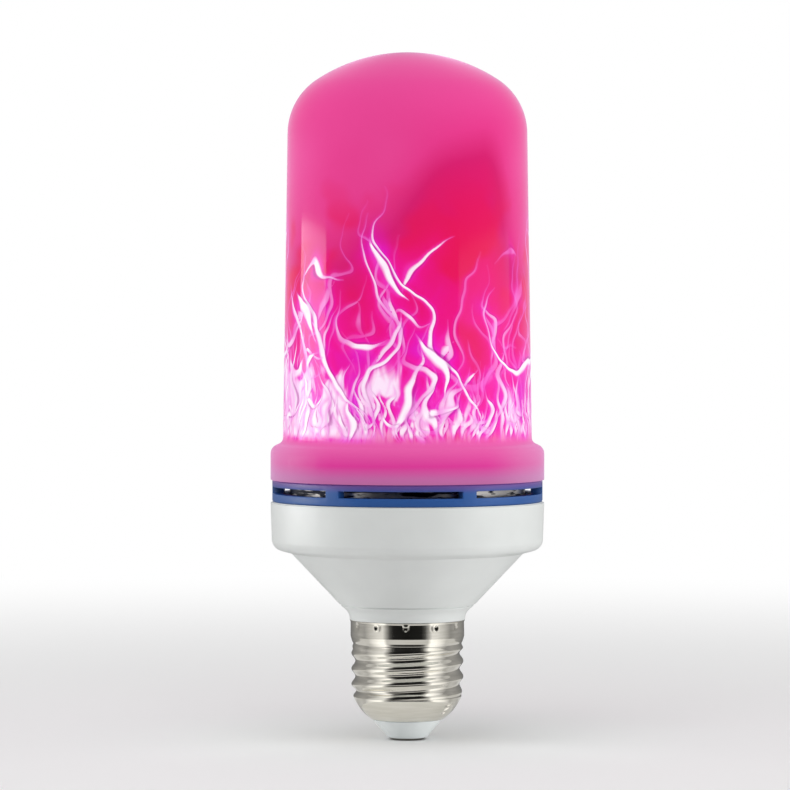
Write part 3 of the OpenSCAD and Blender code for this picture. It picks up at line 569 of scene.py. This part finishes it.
        # Painted shade: the plum line along one side of each stroke
        edge = addNode(tree, "Math", {"operation": "SUBTRACT", 1: 1.45}, {0: across})
        edge = addNode(tree, "Math", {"operation": "ABSOLUTE"}, {0: edge})
        edge = addNode(tree, "MapRange", {
            **easing, "From Min": 0.75, "From Max": 0.1, "To Max": 0.5 * strength}, {"Value": edge})
        edge = addNode(tree, "Math", {"operation": "MULTIPLY"}, {0: edge, 1: heat})
        crisp = addNode(tree, "MapRange", {**easing, "From Min": 1.2, "From Max": 0.6}, {"Value": across})
        soft = addNode(tree, "MapRange", {**easing, "From Min": -1.9, "From Max": -0.4}, {"Value": across})
        body = addNode(tree, "MapRange", {
            **easing, "From Min": -5.5, "From Max": -1.0, "To Max": 0.32 * strength}, {"Value": across})
        body = addNode(tree, "Math", {"operation": "MULTIPLY"}, {0: body, 1: crisp})
        body = addNode(tree, "Math", {"operation": "MULTIPLY"}, {0: body, 1: heat})
        for name, share in {"halo": halo, "plum": edge, "body": body}.items():
            colour = addNode(tree, "Mix", {"data_type": "RGBA", 7: linear(coverColours[name])},
                             {0: share, 6: colour}).outputs[2]
        line = addNode(tree, "Math", {"operation": "MULTIPLY"}, {0: crisp, 1: soft})
        shownHeat = addNode(tree, "MapRange", {"From Min": 0.0, "From Max": 0.6, "To Max": strength},
                            {"Value": heat})
        line = addNode(tree, "Math", {"operation": "MULTIPLY"}, {0: line, 1: shownHeat})
        heatWhite = addNode(tree, "MapRange", {**easing, "From Min": 0.15, "From Max": 0.8}, {"Value": heat})
        lineColour = addNode(tree, "Mix", {
            "data_type": "RGBA", 6: linear(coverColours["coolLine"]), 7: linear(coverColours["hotLine"])},
            {0: heatWhite}).outputs[2]
        colour = addNode(tree, "Mix", {"data_type": "RGBA"}, {0: line, 6: colour, 7: lineColour}).outputs[2]

    unlit = addNode(tree, "HueSaturation", {"Value": 0.42}, {"Color": colour})
    # The tube is polished enough to show its windows, the collar is not
    polish = addNode(tree, "MapRange", {
        "From Min": 69 * mm, "From Max": 71 * mm, "To Min": 0.02, "To Max": 0.24}, {"Value": height})
    feed(surface, {"Base Color": unlit, "Emission Color": colour, "Coat Weight": polish})
    return material


coverPiece = lathe("cover", coverProfile(), cover["turns"])
paintFlames(coverPiece)
finishPiece(coverPiece, milkyPolycarbonate(), "milky_cover", "diffuser_cover")


# Plain colour over a fine moulded grain: satin plastics share it, with their own colour and gloss
def mouldedPlastic(name, colour, roughness, coat=0.0):
    material, tree, surface = newMaterial(name, {
        "Roughness": roughness, "IOR": 1.5, "Coat Weight": coat, "Coat Roughness": 0.15})
    place = addNode(tree, "TexCoord").outputs["Object"]
    mottle = addNode(tree, "TexNoise", {"Scale": 1 / (9 * mm), "Detail": 3.0}, {"Vector": place})
    shade = addNode(tree, "MapRange", {"From Min": 0.3, "From Max": 0.7, "To Min": 0.975, "To Max": 1.02},
                    {"Value": mottle})
    tone = addNode(tree, "HueSaturation", {"Color": linear(colour)}, {"Value": shade})
    grain = addNode(tree, "TexNoise", {"Scale": 1 / (0.35 * mm), "Detail": 2.0}, {"Vector": place})
    relief = addNode(tree, "Bump", {"Strength": 0.04, "Distance": 0.05 * mm}, {"Height": grain})
    feed(surface, {"Base Color": tone, "Normal": relief})
    return material


housing = {
    "lip": 0.5, "gap": 0.2,  # the ring stands on a lip, which leaves a thin dark line round the joint
    "radius": 32, "draft": 0.35, "wallCorner": 2.6, "shoulderRadius": 27.2, "shoulderEdge": 0.5,
    "coneFoot": 15.95, "neckStep": 0.3, "groove": 0.3, "neckRadius": 13.6, "neckCurve": 3, "neckFlare": 2.05,
    "wall": 1.8, "spigotRadius": 12.85, "spigotEnd": 23.4, "boreRadius": 11.2, "boreTop": 29.6,
    "inside": [(26.4, 45.5), (29, 46.7), (30.2, 47.9)],  # from the cone's throat out to the wall
    "turns": 192,
}


def housingProfile():
    h = housing
    outside = rounded([
        (h["radius"] - h["wall"], levels["ring"]),
        (h["radius"] - h["lip"], levels["ring"]),
        (h["radius"] - h["lip"], levels["ring"] - h["gap"]),
        (h["radius"], levels["ring"] - h["gap"], 0.2),
        (h["radius"] - h["draft"], levels["wall"], h["wallCorner"]),
        (h["shoulderRadius"], levels["shoulder"], h["shoulderEdge"]),
        (h["coneFoot"], levels["cone"], 0.18),
        (h["coneFoot"] - h["neckStep"] - h["groove"], levels["cone"] - 0.02),
        (h["coneFoot"] - h["neckStep"] - h["groove"], levels["cone"] - h["groove"]),
        (h["coneFoot"] - h["neckStep"], levels["cone"] - h["groove"] - 0.02, 0.1),
        (h["neckRadius"], levels["cone"] - h["neckFlare"], h["neckCurve"]),
        (h["neckRadius"] - 0.1, levels["rim"], 0.15),
        (h["spigotRadius"], levels["rim"]),
        (h["spigotRadius"], h["spigotEnd"], 0.3),
        (h["boreRadius"], h["spigotEnd"]),
    ], 8)
    inside = [(h["boreRadius"], h["boreTop"])] + h["inside"] + [(h["radius"] - h["wall"], levels["ring"])]
    return outside + inside


housingPiece = lathe("housing", housingProfile(), housing["turns"])
# White flame retardant ABS, moulded with a fine satin texture: soft broad highlights, no sparkle
whiteAbs = mouldedPlastic("whiteAbsSatinMoulded", "#D6D9D7", 0.38)
finishPiece(housingPiece, whiteAbs, "white_housing", "base_housing")

ring = {"edge": 0.12, "glowFrom": 58.6, "glowTo": 60.9}  # heights between which the painted glow of the cover comes in, in violet
ringPiece = softCopy("vent_ring", "ventRing", ring["edge"])


# Blue ABS, moulded in colour: semi gloss, with the cover's glow painted on its top as a touch more violet
def blueAbs():
    material = mouldedPlastic("blueAbsMoulded", "#225294", 0.34)
    tree = material.node_tree
    surface = tree.nodes["Principled BSDF"]
    plain = surface.inputs["Base Color"].links[0].from_socket
    place = addNode(tree, "TexCoord").outputs["Object"]
    height = addNode(tree, "SeparateXYZ", links={0: place}).outputs["Z"]
    # Painted glow: violet mixed into the top of the ring, where the cover's light falls
    top = addNode(tree, "MapRange", {
        **easing, "From Min": ring["glowFrom"] * mm, "From Max": ring["glowTo"] * mm, "To Max": 0.7},
        {"Value": height})
    tone = addNode(tree, "Mix", {"data_type": "RGBA", 7: linear("#763E92")}, {0: top, 6: plain}).outputs[2]
    feed(surface, {"Base Color": tone})
    return material


finishPiece(ringPiece, blueAbs(), "blue_ring", "vent_ring")

shell = {
    "crest": 13.1, "depth": 0.9, "pitch": 3.629, "turn": -27, "fade": 1.5, "endDrop": 0.45,
    "skirt": 13.3, "skirtStep": 0.2, "skirtRise": 1.2, "drawIn": 0.5, "flare": 0.15, "flareHeight": 0.6,
    "sheet": 0.3, "endRadius": 8.4, "bulge": 0.54, "turns": 240,
    "crimps": 12, "crimpTurn": -91.7, "crimpDrop": 1.3, "crimpRadius": 0.85, "crimpDepth": 0.4,
    # Small pinches in the taper, where the shell was gripped: height and lean of each, then what they share
    "pinches": [(6.8, 0.3), (7.7, 0.6), (8.5, 0.4)], "pinchTurn": -37, "pinchDepth": 0.5, "pinchWidth": 0.8,
    "pinchHeight": 0.26, "taperMiddle": 11,
}


# Points from one place to another along a line that bulges to one side
def bowed(a, b, bulge, steps):
    a, b = np.array(a), np.array(b)
    chord = np.linalg.norm(b - a)
    side = np.array([b[1] - a[1], a[0] - b[0]]) / chord
    made = []
    for k in range(steps + 1):
        t = k / steps
        made.append(tuple(a + (b - a) * t + side * bulge * 4 * t * (1 - t)))
    return made


def shellProfile():
    s = shell
    narrow = s["crest"] - s["endDrop"]
    band = [(s["crest"], z) for z in np.linspace(levels["thread"], levels["skirt"], 93)]
    outside = bowed((s["endRadius"], levels["shell"]), (narrow, levels["thread"]), s["bulge"], 40)[:-1]
    outside += band
    outside += [(s["crest"] + s["skirtStep"] * smoothStep(t), levels["skirt"] + s["skirtRise"] * t)
                for t in np.linspace(0.1, 1, 8)]
    outside += [(s["skirt"], z) for z in np.linspace(levels["skirt"] + 1.4, levels["rim"] - 0.6, 26)]
    outside += [(s["skirt"] + s["flare"] * smoothStep(t), levels["rim"] - s["flareHeight"] * (1 - t))
                for t in np.linspace(0.15, 0.9, 6)]
    outside += arc((s["skirt"] + s["flare"] - 0.15, levels["rim"] - 0.15), 0.15, 0, 180, 6)
    inside = [(p[0] - s["sheet"], p[1]) for p in reversed(outside[:-7])]
    return outside + inside + [outside[0]]


def rollThread(piece):
    s = shell
    places = pointsOf(piece)
    radius = np.hypot(places[:, 0], places[:, 1])
    angle = np.degrees(np.arctan2(places[:, 1], places[:, 0]))
    z = places[:, 2]
    inBand = (z > levels["thread"] - 1e-4) & (z < levels["skirt"] + 1e-4)
    fade = smoothStep(np.minimum(z - levels["thread"], levels["skirt"] - z) / s["fade"])
    drop = s["endDrop"] * (1 - smoothStep((z - levels["thread"]) / (2 * s["fade"])))
    wave = (1 - np.cos(np.radians(angle - s["turn"] - 360 * z / s["pitch"]))) / 2
    moved = radius - np.where(inBand, drop + s["depth"] * fade * wave, 0)
    # Round dimples where the shell is crimped to the housing
    for k in range(s["crimps"]):
        at = s["crimpTurn"] + 360 * k / s["crimps"]
        aside = ((angle - at + 180) % 360 - 180) * math.pi / 180 * s["skirt"]
        away = np.hypot(aside, z - levels["rim"] + s["crimpDrop"]) / s["crimpRadius"]
        moved -= np.where(z > levels["skirt"] + 2, s["crimpDepth"] * smoothStep(1.25 - away), 0)
    # The skirt draws in a little before the thread starts
    moved -= s["drawIn"] * np.interp(z - levels["skirt"], (-0.6, 0.4, 2.2), (0, 1, 0))
    aside = ((angle - s["pinchTurn"] + 180) % 360 - 180) * math.pi / 180 * s["taperMiddle"]
    for height, lean in s["pinches"]:
        above = z - height - lean * aside
        pinch = np.exp(-(aside / s["pinchWidth"]) ** 2 - (above / s["pinchHeight"]) ** 2)
        moved -= np.where(z < levels["thread"], s["pinchDepth"] * pinch, 0)
    places[:, 0] *= moved / radius
    places[:, 1] *= moved / radius
    movePoints(piece, places)


# Drawn brass sheet under bright nickel: mirror-like with faint drawing lines round it, slightly warm
def brightNickel():
    material, tree, surface = newMaterial("brightNickelPlate", {"Metallic": 1})
    place = addNode(tree, "TexCoord").outputs["Object"]
    stretched = addNode(tree, "Mapping", {"Scale": (1, 1, 9)}, {"Vector": place})
    lines = addNode(tree, "TexNoise", {"Scale": 1 / (5 * mm), "Detail": 3.0}, {"Vector": stretched})
    tone = addNode(tree, "MapRange", {"From Min": 0.3, "From Max": 0.7}, {"Value": lines})
    colour = addNode(tree, "Mix", {"data_type": "RGBA", 6: linear("#E2DED2"), 7: linear("#EEEAE0")},
                     {0: tone}).outputs[2]
    roughness = addNode(tree, "MapRange", {"From Min": 0.3, "From Max": 0.7, "To Min": 0.05, "To Max": 0.11},
                        {"Value": lines})
    relief = addNode(tree, "Bump", {"Strength": 0.12, "Distance": 0.02 * mm}, {"Height": lines})
    feed(surface, {"Base Color": colour, "Roughness": roughness, "Normal": relief})
    return material


shellPiece = lathe("screwShell", shellProfile(), shell["turns"], 50)
rollThread(shellPiece)
finishPiece(shellPiece, brightNickel(), "nickelled_shell", "screw_shell")

insulator = {"hole": 1.15, "end": 4.6, "endCorner": 0.35, "bulge": (6.5, 2.72), "top": 8.25,
             "topCorner": 0.25, "plug": 7.95, "plugTop": 7, "turns": 96}


def insulatorProfile():
    i, low, high = insulator, levels["insulator"], levels["shell"]
    return rounded([(i["hole"], low), (i["end"], low, i["endCorner"]), i["bulge"],
                    (i["top"], high, i["topCorner"]), (i["plug"], high), (i["plug"], i["plugTop"]),
                    (i["hole"], i["plugTop"]), (i["hole"], low)], 5)


insulatorPiece = lathe("capInsulator", insulatorProfile(), insulator["turns"])
# Pale grey PBT, moulded smooth: a clean, slightly glossy face
greyPbt = mouldedPlastic("greyPbtMoulded", "#DFE4E4", 0.25, coat=0.3)
finishPiece(insulatorPiece, greyPbt, "grey_insulator", "cap_insulator")

contact = {"face": 3.8, "radius": 4.3, "edge": 0.4, "shank": 1, "head": 2, "headEnd": 1.8, "headTop": 7.5,
           "turns": 72}


def contactProfile():
    c, low, plugTop = contact, levels["insulator"], insulator["plugTop"]
    return rounded([(0, 0), (c["face"], 0, 0.3), (c["radius"], c["edge"], 0.1), (c["radius"], low),
                    (c["shank"], low), (c["shank"], plugTop), (c["head"], plugTop),
                    (c["headEnd"], c["headTop"], 0.15), (0, c["headTop"])], 4)


contactPiece = lathe("centreContact", contactProfile(), contact["turns"])


# Sheet metal and small metal parts: rolled or turned, so a fine grain with a dull shine
def dullMetal(name, colour, roughness, grainMm):
    material, tree, surface = newMaterial(name, {"Metallic": 1})
    place = addNode(tree, "TexCoord").outputs["Object"]
    grain = addNode(tree, "TexNoise", {"Scale": 1 / (grainMm * mm), "Detail": 4.0}, {"Vector": place})
    shade = addNode(tree, "MapRange", {"From Min": 0.3, "From Max": 0.7, "To Min": 0.85, "To Max": 1.05},
                    {"Value": grain})
    tone = addNode(tree, "HueSaturation", {"Color": linear(colour)}, {"Value": shade})
    rough = addNode(tree, "MapRange", {
        "From Min": 0.3, "From Max": 0.7, "To Min": roughness - 0.06, "To Max": roughness + 0.08},
        {"Value": grain})
    feed(surface, {"Base Color": tone, "Roughness": rough})
    return material


# Tin over brass, dulled by handling
finishPiece(contactPiece, dullMetal("dullTinPlate", "#8E8C86", 0.38, 1.5), "contact_metal", "centre_contact")

cup = {"edge": 0.1, "streakLength": 7, "streakThinness": 9}
cupPiece = softCopy("heat_sink_cup", "heatSinkCup", cup["edge"])


# Pressed aluminium behind the slots: its colour is painted dark for the shade of the ring, with bright
# streaks of painted glints
def aluminiumPaintedShade():
    material, tree, surface = newMaterial("pressedAluminiumPaintedShade", {"Metallic": 1, "Roughness": 0.3})
    place = addNode(tree, "TexCoord").outputs["Object"]
    drawn = addNode(tree, "Mapping", {"Scale": (1, 1, cup["streakThinness"])}, {"Vector": place})
    streak = addNode(tree, "TexNoise", {
        "Scale": 1 / (cup["streakLength"] * mm), "Detail": 3.0, "Distortion": 0.5}, {"Vector": drawn})
    paintedGlint = addNode(tree, "MapRange", {**easing, "From Min": 0.47, "From Max": 0.55}, {"Value": streak})
    # Painted shade in the dark colour, painted glints in the pale streaks
    colour = addNode(tree, "Mix", {"data_type": "RGBA", 6: linear("#2A2C36"), 7: linear("#E4E0DC")},
                     {0: paintedGlint}).outputs[2]
    relief = addNode(tree, "Bump", {"Strength": 0.5, "Distance": 0.1 * mm}, {"Height": streak})
    feed(surface, {"Base Color": colour, "Normal": relief})
    return material


finishPiece(cupPiece, aluminiumPaintedShade(), "cup_aluminium", "heat_sink_cup")

# Pieces inside, kept as the CAD has them: slot and material of each
inner = {
    "core_tube": ("white_former", mouldedPlastic("whiteNylonMoulded", "#ECECE6", 0.45)),
    "strip_board": ("white_board", mouldedPlastic("whiteSolderMask", "#F0F0EA", 0.3)),
    "side_leds": ("led_body", mouldedPlastic("phosphorInSilicone", "#F4D26A", 0.4)),
    "top_board": ("white_board", mouldedPlastic("whiteSolderMaskFlat", "#F0F0EA", 0.3)),
    "top_leds": ("led_body", mouldedPlastic("phosphorInSiliconeTop", "#F4D26A", 0.4)),
    "core_screws": ("screw_steel", dullMetal("zincPlatedSteel", "#B4B6B8", 0.3, 1.0)),
    "driver_board": ("green_board", mouldedPlastic("greenSolderMask", "#1E6B40", 0.3)),
    "board_screws": ("screw_steel", dullMetal("zincPlatedSteelBoard", "#B4B6B8", 0.3, 1.0)),
    "filter_capacitor": ("capacitor_sleeve", mouldedPlastic("petShrinkSleeve", "#1C2440", 0.2)),
    "choke": ("choke_winding", mouldedPlastic("varnishedCopperWire", "#7A3C18", 0.25)),
    "bridge_rectifier": ("chip_black", mouldedPlastic("blackEpoxyMould", "#232326", 0.4)),
    "driver_chip": ("chip_black", mouldedPlastic("blackEpoxyMouldDriver", "#232326", 0.4)),
    "controller_chip": ("chip_black", mouldedPlastic("blackEpoxyMouldController", "#232326", 0.4)),
    "fusible_resistor": ("resistor_body", mouldedPlastic("blueGreyLacquer", "#7FA6BE", 0.3)),
    "live_lead": ("lead_red", mouldedPlastic("redPvcSleeve", "#B01818", 0.35)),
    "neutral_lead": ("lead_black", mouldedPlastic("blackPvcSleeve", "#1E1E20", 0.35)),
    "led_leads": ("lead_yellow", mouldedPlastic("yellowPvcSleeve", "#D9A21A", 0.35)),
}
for node, (slotName, material) in inner.items():
    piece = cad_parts[node]
    piece.data.materials.clear()
    piece.data.materials.append(material)
print("dressed", len(inner), "inner pieces")

# Sizes of the studio, in metres
studio = {
    "whiteFrom": 0.12, "whiteTo": 0.6, "floorSize": 6, "sweepStart": 1.2, "sweepRadius": 0.8, "wallHeight": 3,
    "cardRadius": 0.07, "cardBottom": 0.001, "cardTop": 0.062,
    "footReach": 0.29, "topReach": 0.56,  # radius of the feet's and the tops' inner edge, as a share
    "flangeStrength": 1.6,  # how much brighter the feet and tops are than the wall of the cards
    "footGrey": 0.4, "greyFrom": 0.03, "greyTo": 0.038,
    # How bright the cards look at an angle from the front: black in the middle, white beside it, then grey
    "cards": [(0, 0.01), (26, 0.015), (33, 0.08), (40, 0.4), (47, 0.85), (58, 0.8), (72, 0.6), (89, 0.3),
              (104, 0.36), (122, 0.32), (150, 0.2)],
}


# 1 for rays that show the studio, to the eye or in a reflection, and 0 for those that only light things
def raysThatLook(tree):
    path = addNode(tree, "LightPath")
    seen = path.outputs["Is Camera Ray"]
    for name in ("Is Glossy Ray", "Is Transmission Ray"):
        seen = addNode(tree, "Math", {"operation": "MAXIMUM"}, {0: seen, 1: path.outputs[name]})
    return seen


def makeSweep():
    s = studio
    path = [(-s["floorSize"] / 2, 0), (s["sweepStart"], 0)]
    path += arc((s["sweepStart"], s["sweepRadius"]), s["sweepRadius"], -90, 0, 24)[1:]
    path += [(s["sweepStart"] + s["sweepRadius"], s["wallHeight"])]
    floor = drawLine("floor", [(-s["floorSize"] / 2 / mm, y / mm, z / mm) for y, z in path])
    bpy.ops.mesh.extrude_region_move(TRANSFORM_OT_translate={"value": (s["floorSize"], 0, 0)})
    bpy.ops.object.mode_set(mode="OBJECT")
    bpy.ops.object.shade_smooth()
    # Matt paper: it keeps the shadow near the bulb and runs out to plain white further off
    material, tree, surface = newMaterial("paleSweep", {
        "Base Color": linear("#F4F4F4"), "Roughness": 0.9, "Specular IOR Level": 0.1})
    place = addNode(tree, "TexCoord").outputs["Object"]
    away = addNode(tree, "VectorMath", {"operation": "LENGTH"}, {0: place}).outputs["Value"]
    far = addNode(tree, "MapRange", {**easing, "From Min": s["whiteFrom"], "From Max": s["whiteTo"]},
                  {"Value": away})
    share = addNode(tree, "Math", {"operation": "MULTIPLY"}, {0: raysThatLook(tree), 1: far})
    white = addNode(tree, "Emission", {"Color": (1, 1, 1, 1), "Strength": 1.0})
    blend = addNode(tree, "MixShader", links={0: share, 1: surface, 2: white})
    feed(tree.nodes["Material Output"], {"Surface": blend})
    floor.data.materials.append(material)


# Bent cards close round the cap, seen only by reflections: they give the metal its dark middle with a
# bright streak on each side
def makeCards():
    s = studio
    deselectAll()
    bpy.ops.mesh.primitive_cylinder_add(
        vertices=120, radius=s["cardRadius"], depth=s["cardTop"] - s["cardBottom"], end_fill_type="NOTHING",
        location=(0, 0, (s["cardTop"] + s["cardBottom"]) / 2))
    card = bpy.context.object
    card.name = "capCards"
    bpy.ops.object.transform_apply(location=True, rotation=True, scale=True)
    # Their feet run in along the floor and their tops lean in over the cap
    for end, reach in ((s["cardBottom"], s["footReach"]), (s["cardTop"], s["topReach"])):
        bpy.ops.object.mode_set(mode="EDIT")
        bpy.ops.mesh.select_mode(type="EDGE")
        bpy.ops.mesh.select_all(action="DESELECT")
        bpy.ops.object.mode_set(mode="OBJECT")
        for edge in card.data.edges:
            edge.select = all(abs(card.data.vertices[i].co.z - end) < 0.0005 for i in edge.vertices)
        bpy.ops.object.mode_set(mode="EDIT")
        bpy.ops.mesh.extrude_edges_move()
        bpy.ops.transform.resize(value=(reach, reach, 1), center_override=(0, 0, 0))
        bpy.ops.object.mode_set(mode="OBJECT")
    material, tree = newMaterial("cardRing", {})[:2]
    place = addNode(tree, "TexCoord").outputs["Object"]
    parts = addNode(tree, "SeparateXYZ", links={0: place})
    front = addNode(tree, "Math", {"operation": "MULTIPLY", 1: -1}, {0: parts.outputs["Y"]})
    turned = addNode(tree, "Math", {"operation": "ARCTAN2"}, {0: parts.outputs["X"], 1: front})
    turned = addNode(tree, "Math", {"operation": "ABSOLUTE"}, {0: turned})
    share = addNode(tree, "Math", {"operation": "DIVIDE", 1: math.pi}, {0: turned})
    tones = addNode(tree, "ValToRGB", links={0: share})
    ramp = tones.color_ramp.elements
    while len(ramp) < len(s["cards"]):
        ramp.new(0.5)
    for stop, (angle, tone) in zip(ramp, s["cards"]):
        stop.position = angle / 180
        stop.color = (tone, tone, tone, 1)
    reach = addNode(tree, "CombineXYZ", links={"X": parts.outputs["X"], "Y": parts.outputs["Y"]})
    reach = addNode(tree, "VectorMath", {"operation": "LENGTH"}, {0: reach}).outputs["Value"]
    strength = addNode(tree, "MapRange", {
        "From Min": s["cardRadius"] - 0.0015, "From Max": s["cardRadius"] - 0.001,
        "To Min": s["flangeStrength"], "To Max": 1.0}, {"Value": reach})
    # Further out the feet are grey all round, which lights the slopes that face down
    outer = addNode(tree, "MapRange", {"From Min": s["greyFrom"], "From Max": s["greyTo"]}, {"Value": reach})
    foot = addNode(tree, "Math", {"operation": "LESS_THAN", 1: 0.002}, {0: parts.outputs["Z"]})
    grey = addNode(tree, "Math", {"operation": "MULTIPLY"}, {0: outer, 1: foot})
    tones = addNode(tree, "Mix", {
        "data_type": "RGBA", "blend_type": "LIGHTEN", 7: (s["footGrey"], s["footGrey"], s["footGrey"], 1)},
        {0: grey, 6: tones}).outputs[2]
    glow = addNode(tree, "Emission", links={"Color": tones, "Strength": strength})
    feed(tree.nodes["Material Output"], {"Surface": glow})
    card.data.materials.append(material)
    card.visible_camera = card.visible_diffuse = card.visible_shadow = False


# In metres and watts. Those that don't shine light the bulb but show in no reflection
lights = {
    "leftBox": {"place": (-0.74, 0.13, 0.0725), "aim": 0.0725, "size": (0.5, 0.145), "power": 2.1,
                "shines": True},
    "rightBox": {"place": (0.78, -0.15, 0.0725), "aim": 0.0725, "size": (0.95, 0.145), "power": 0.65,
                 "shines": True},
    "rightFill": {"place": (0.78, -0.15, 0.0725), "aim": 0.0725, "size": (0.95, 0.145), "power": 2.85,
                  "shines": False},
    "topBox": {"place": (-0.1, -0.5, 1.0), "aim": 0.08, "size": (0.9, 0.7), "power": 3.2, "shines": False},
}


def makeLights():
    for name, box in lights.items():
        deselectAll()
        bpy.ops.object.light_add(type="AREA", location=box["place"])
        light = bpy.context.object
        light.name = name
        light.data.shape = "RECTANGLE"
        light.data.size, light.data.size_y = box["size"]
        light.data.energy = box["power"]
        light.visible_glossy = box["shines"]
        towards = Vector((0, 0, box["aim"])) - Vector(box["place"])
        light.rotation_euler = towards.to_track_quat("-Z", "Y").to_euler()


def makeWorld():
    world = bpy.data.worlds.new("studioWorld")
    bpy.context.scene.world = world
    world.use_nodes = True
    tree = world.node_tree
    tree.nodes.clear()
    strength = addNode(tree, "MapRange", {"To Min": 0.6, "To Max": 1.0}, {"Value": raysThatLook(tree)})
    light = addNode(tree, "Background", {"Color": (1, 1, 1, 1)}, {"Strength": strength})
    output = addNode(tree, "OutputWorld")
    feed(output, {"Surface": light})


makeSweep()
makeCards()
makeWorld()
makeLights()

view = {"lens": 200, "sensor": 36, "place": (-0.0029, -1.026, 0.105), "aim": (-0.0029, 0, 0.0806)}


def makeCamera():
    deselectAll()
    bpy.ops.object.camera_add(location=view["place"])
    camera = bpy.context.object
    camera.data.lens, camera.data.sensor_width = view["lens"], view["sensor"]
    drop = math.atan2(view["place"][2] - view["aim"][2], view["aim"][1] - view["place"][1])
    camera.rotation_euler = (math.pi / 2 - drop, 0, 0)
    bpy.context.scene.camera = camera


makeCamera()
bpy.context.scene.view_settings.view_transform = "Standard"
print("studio ready")
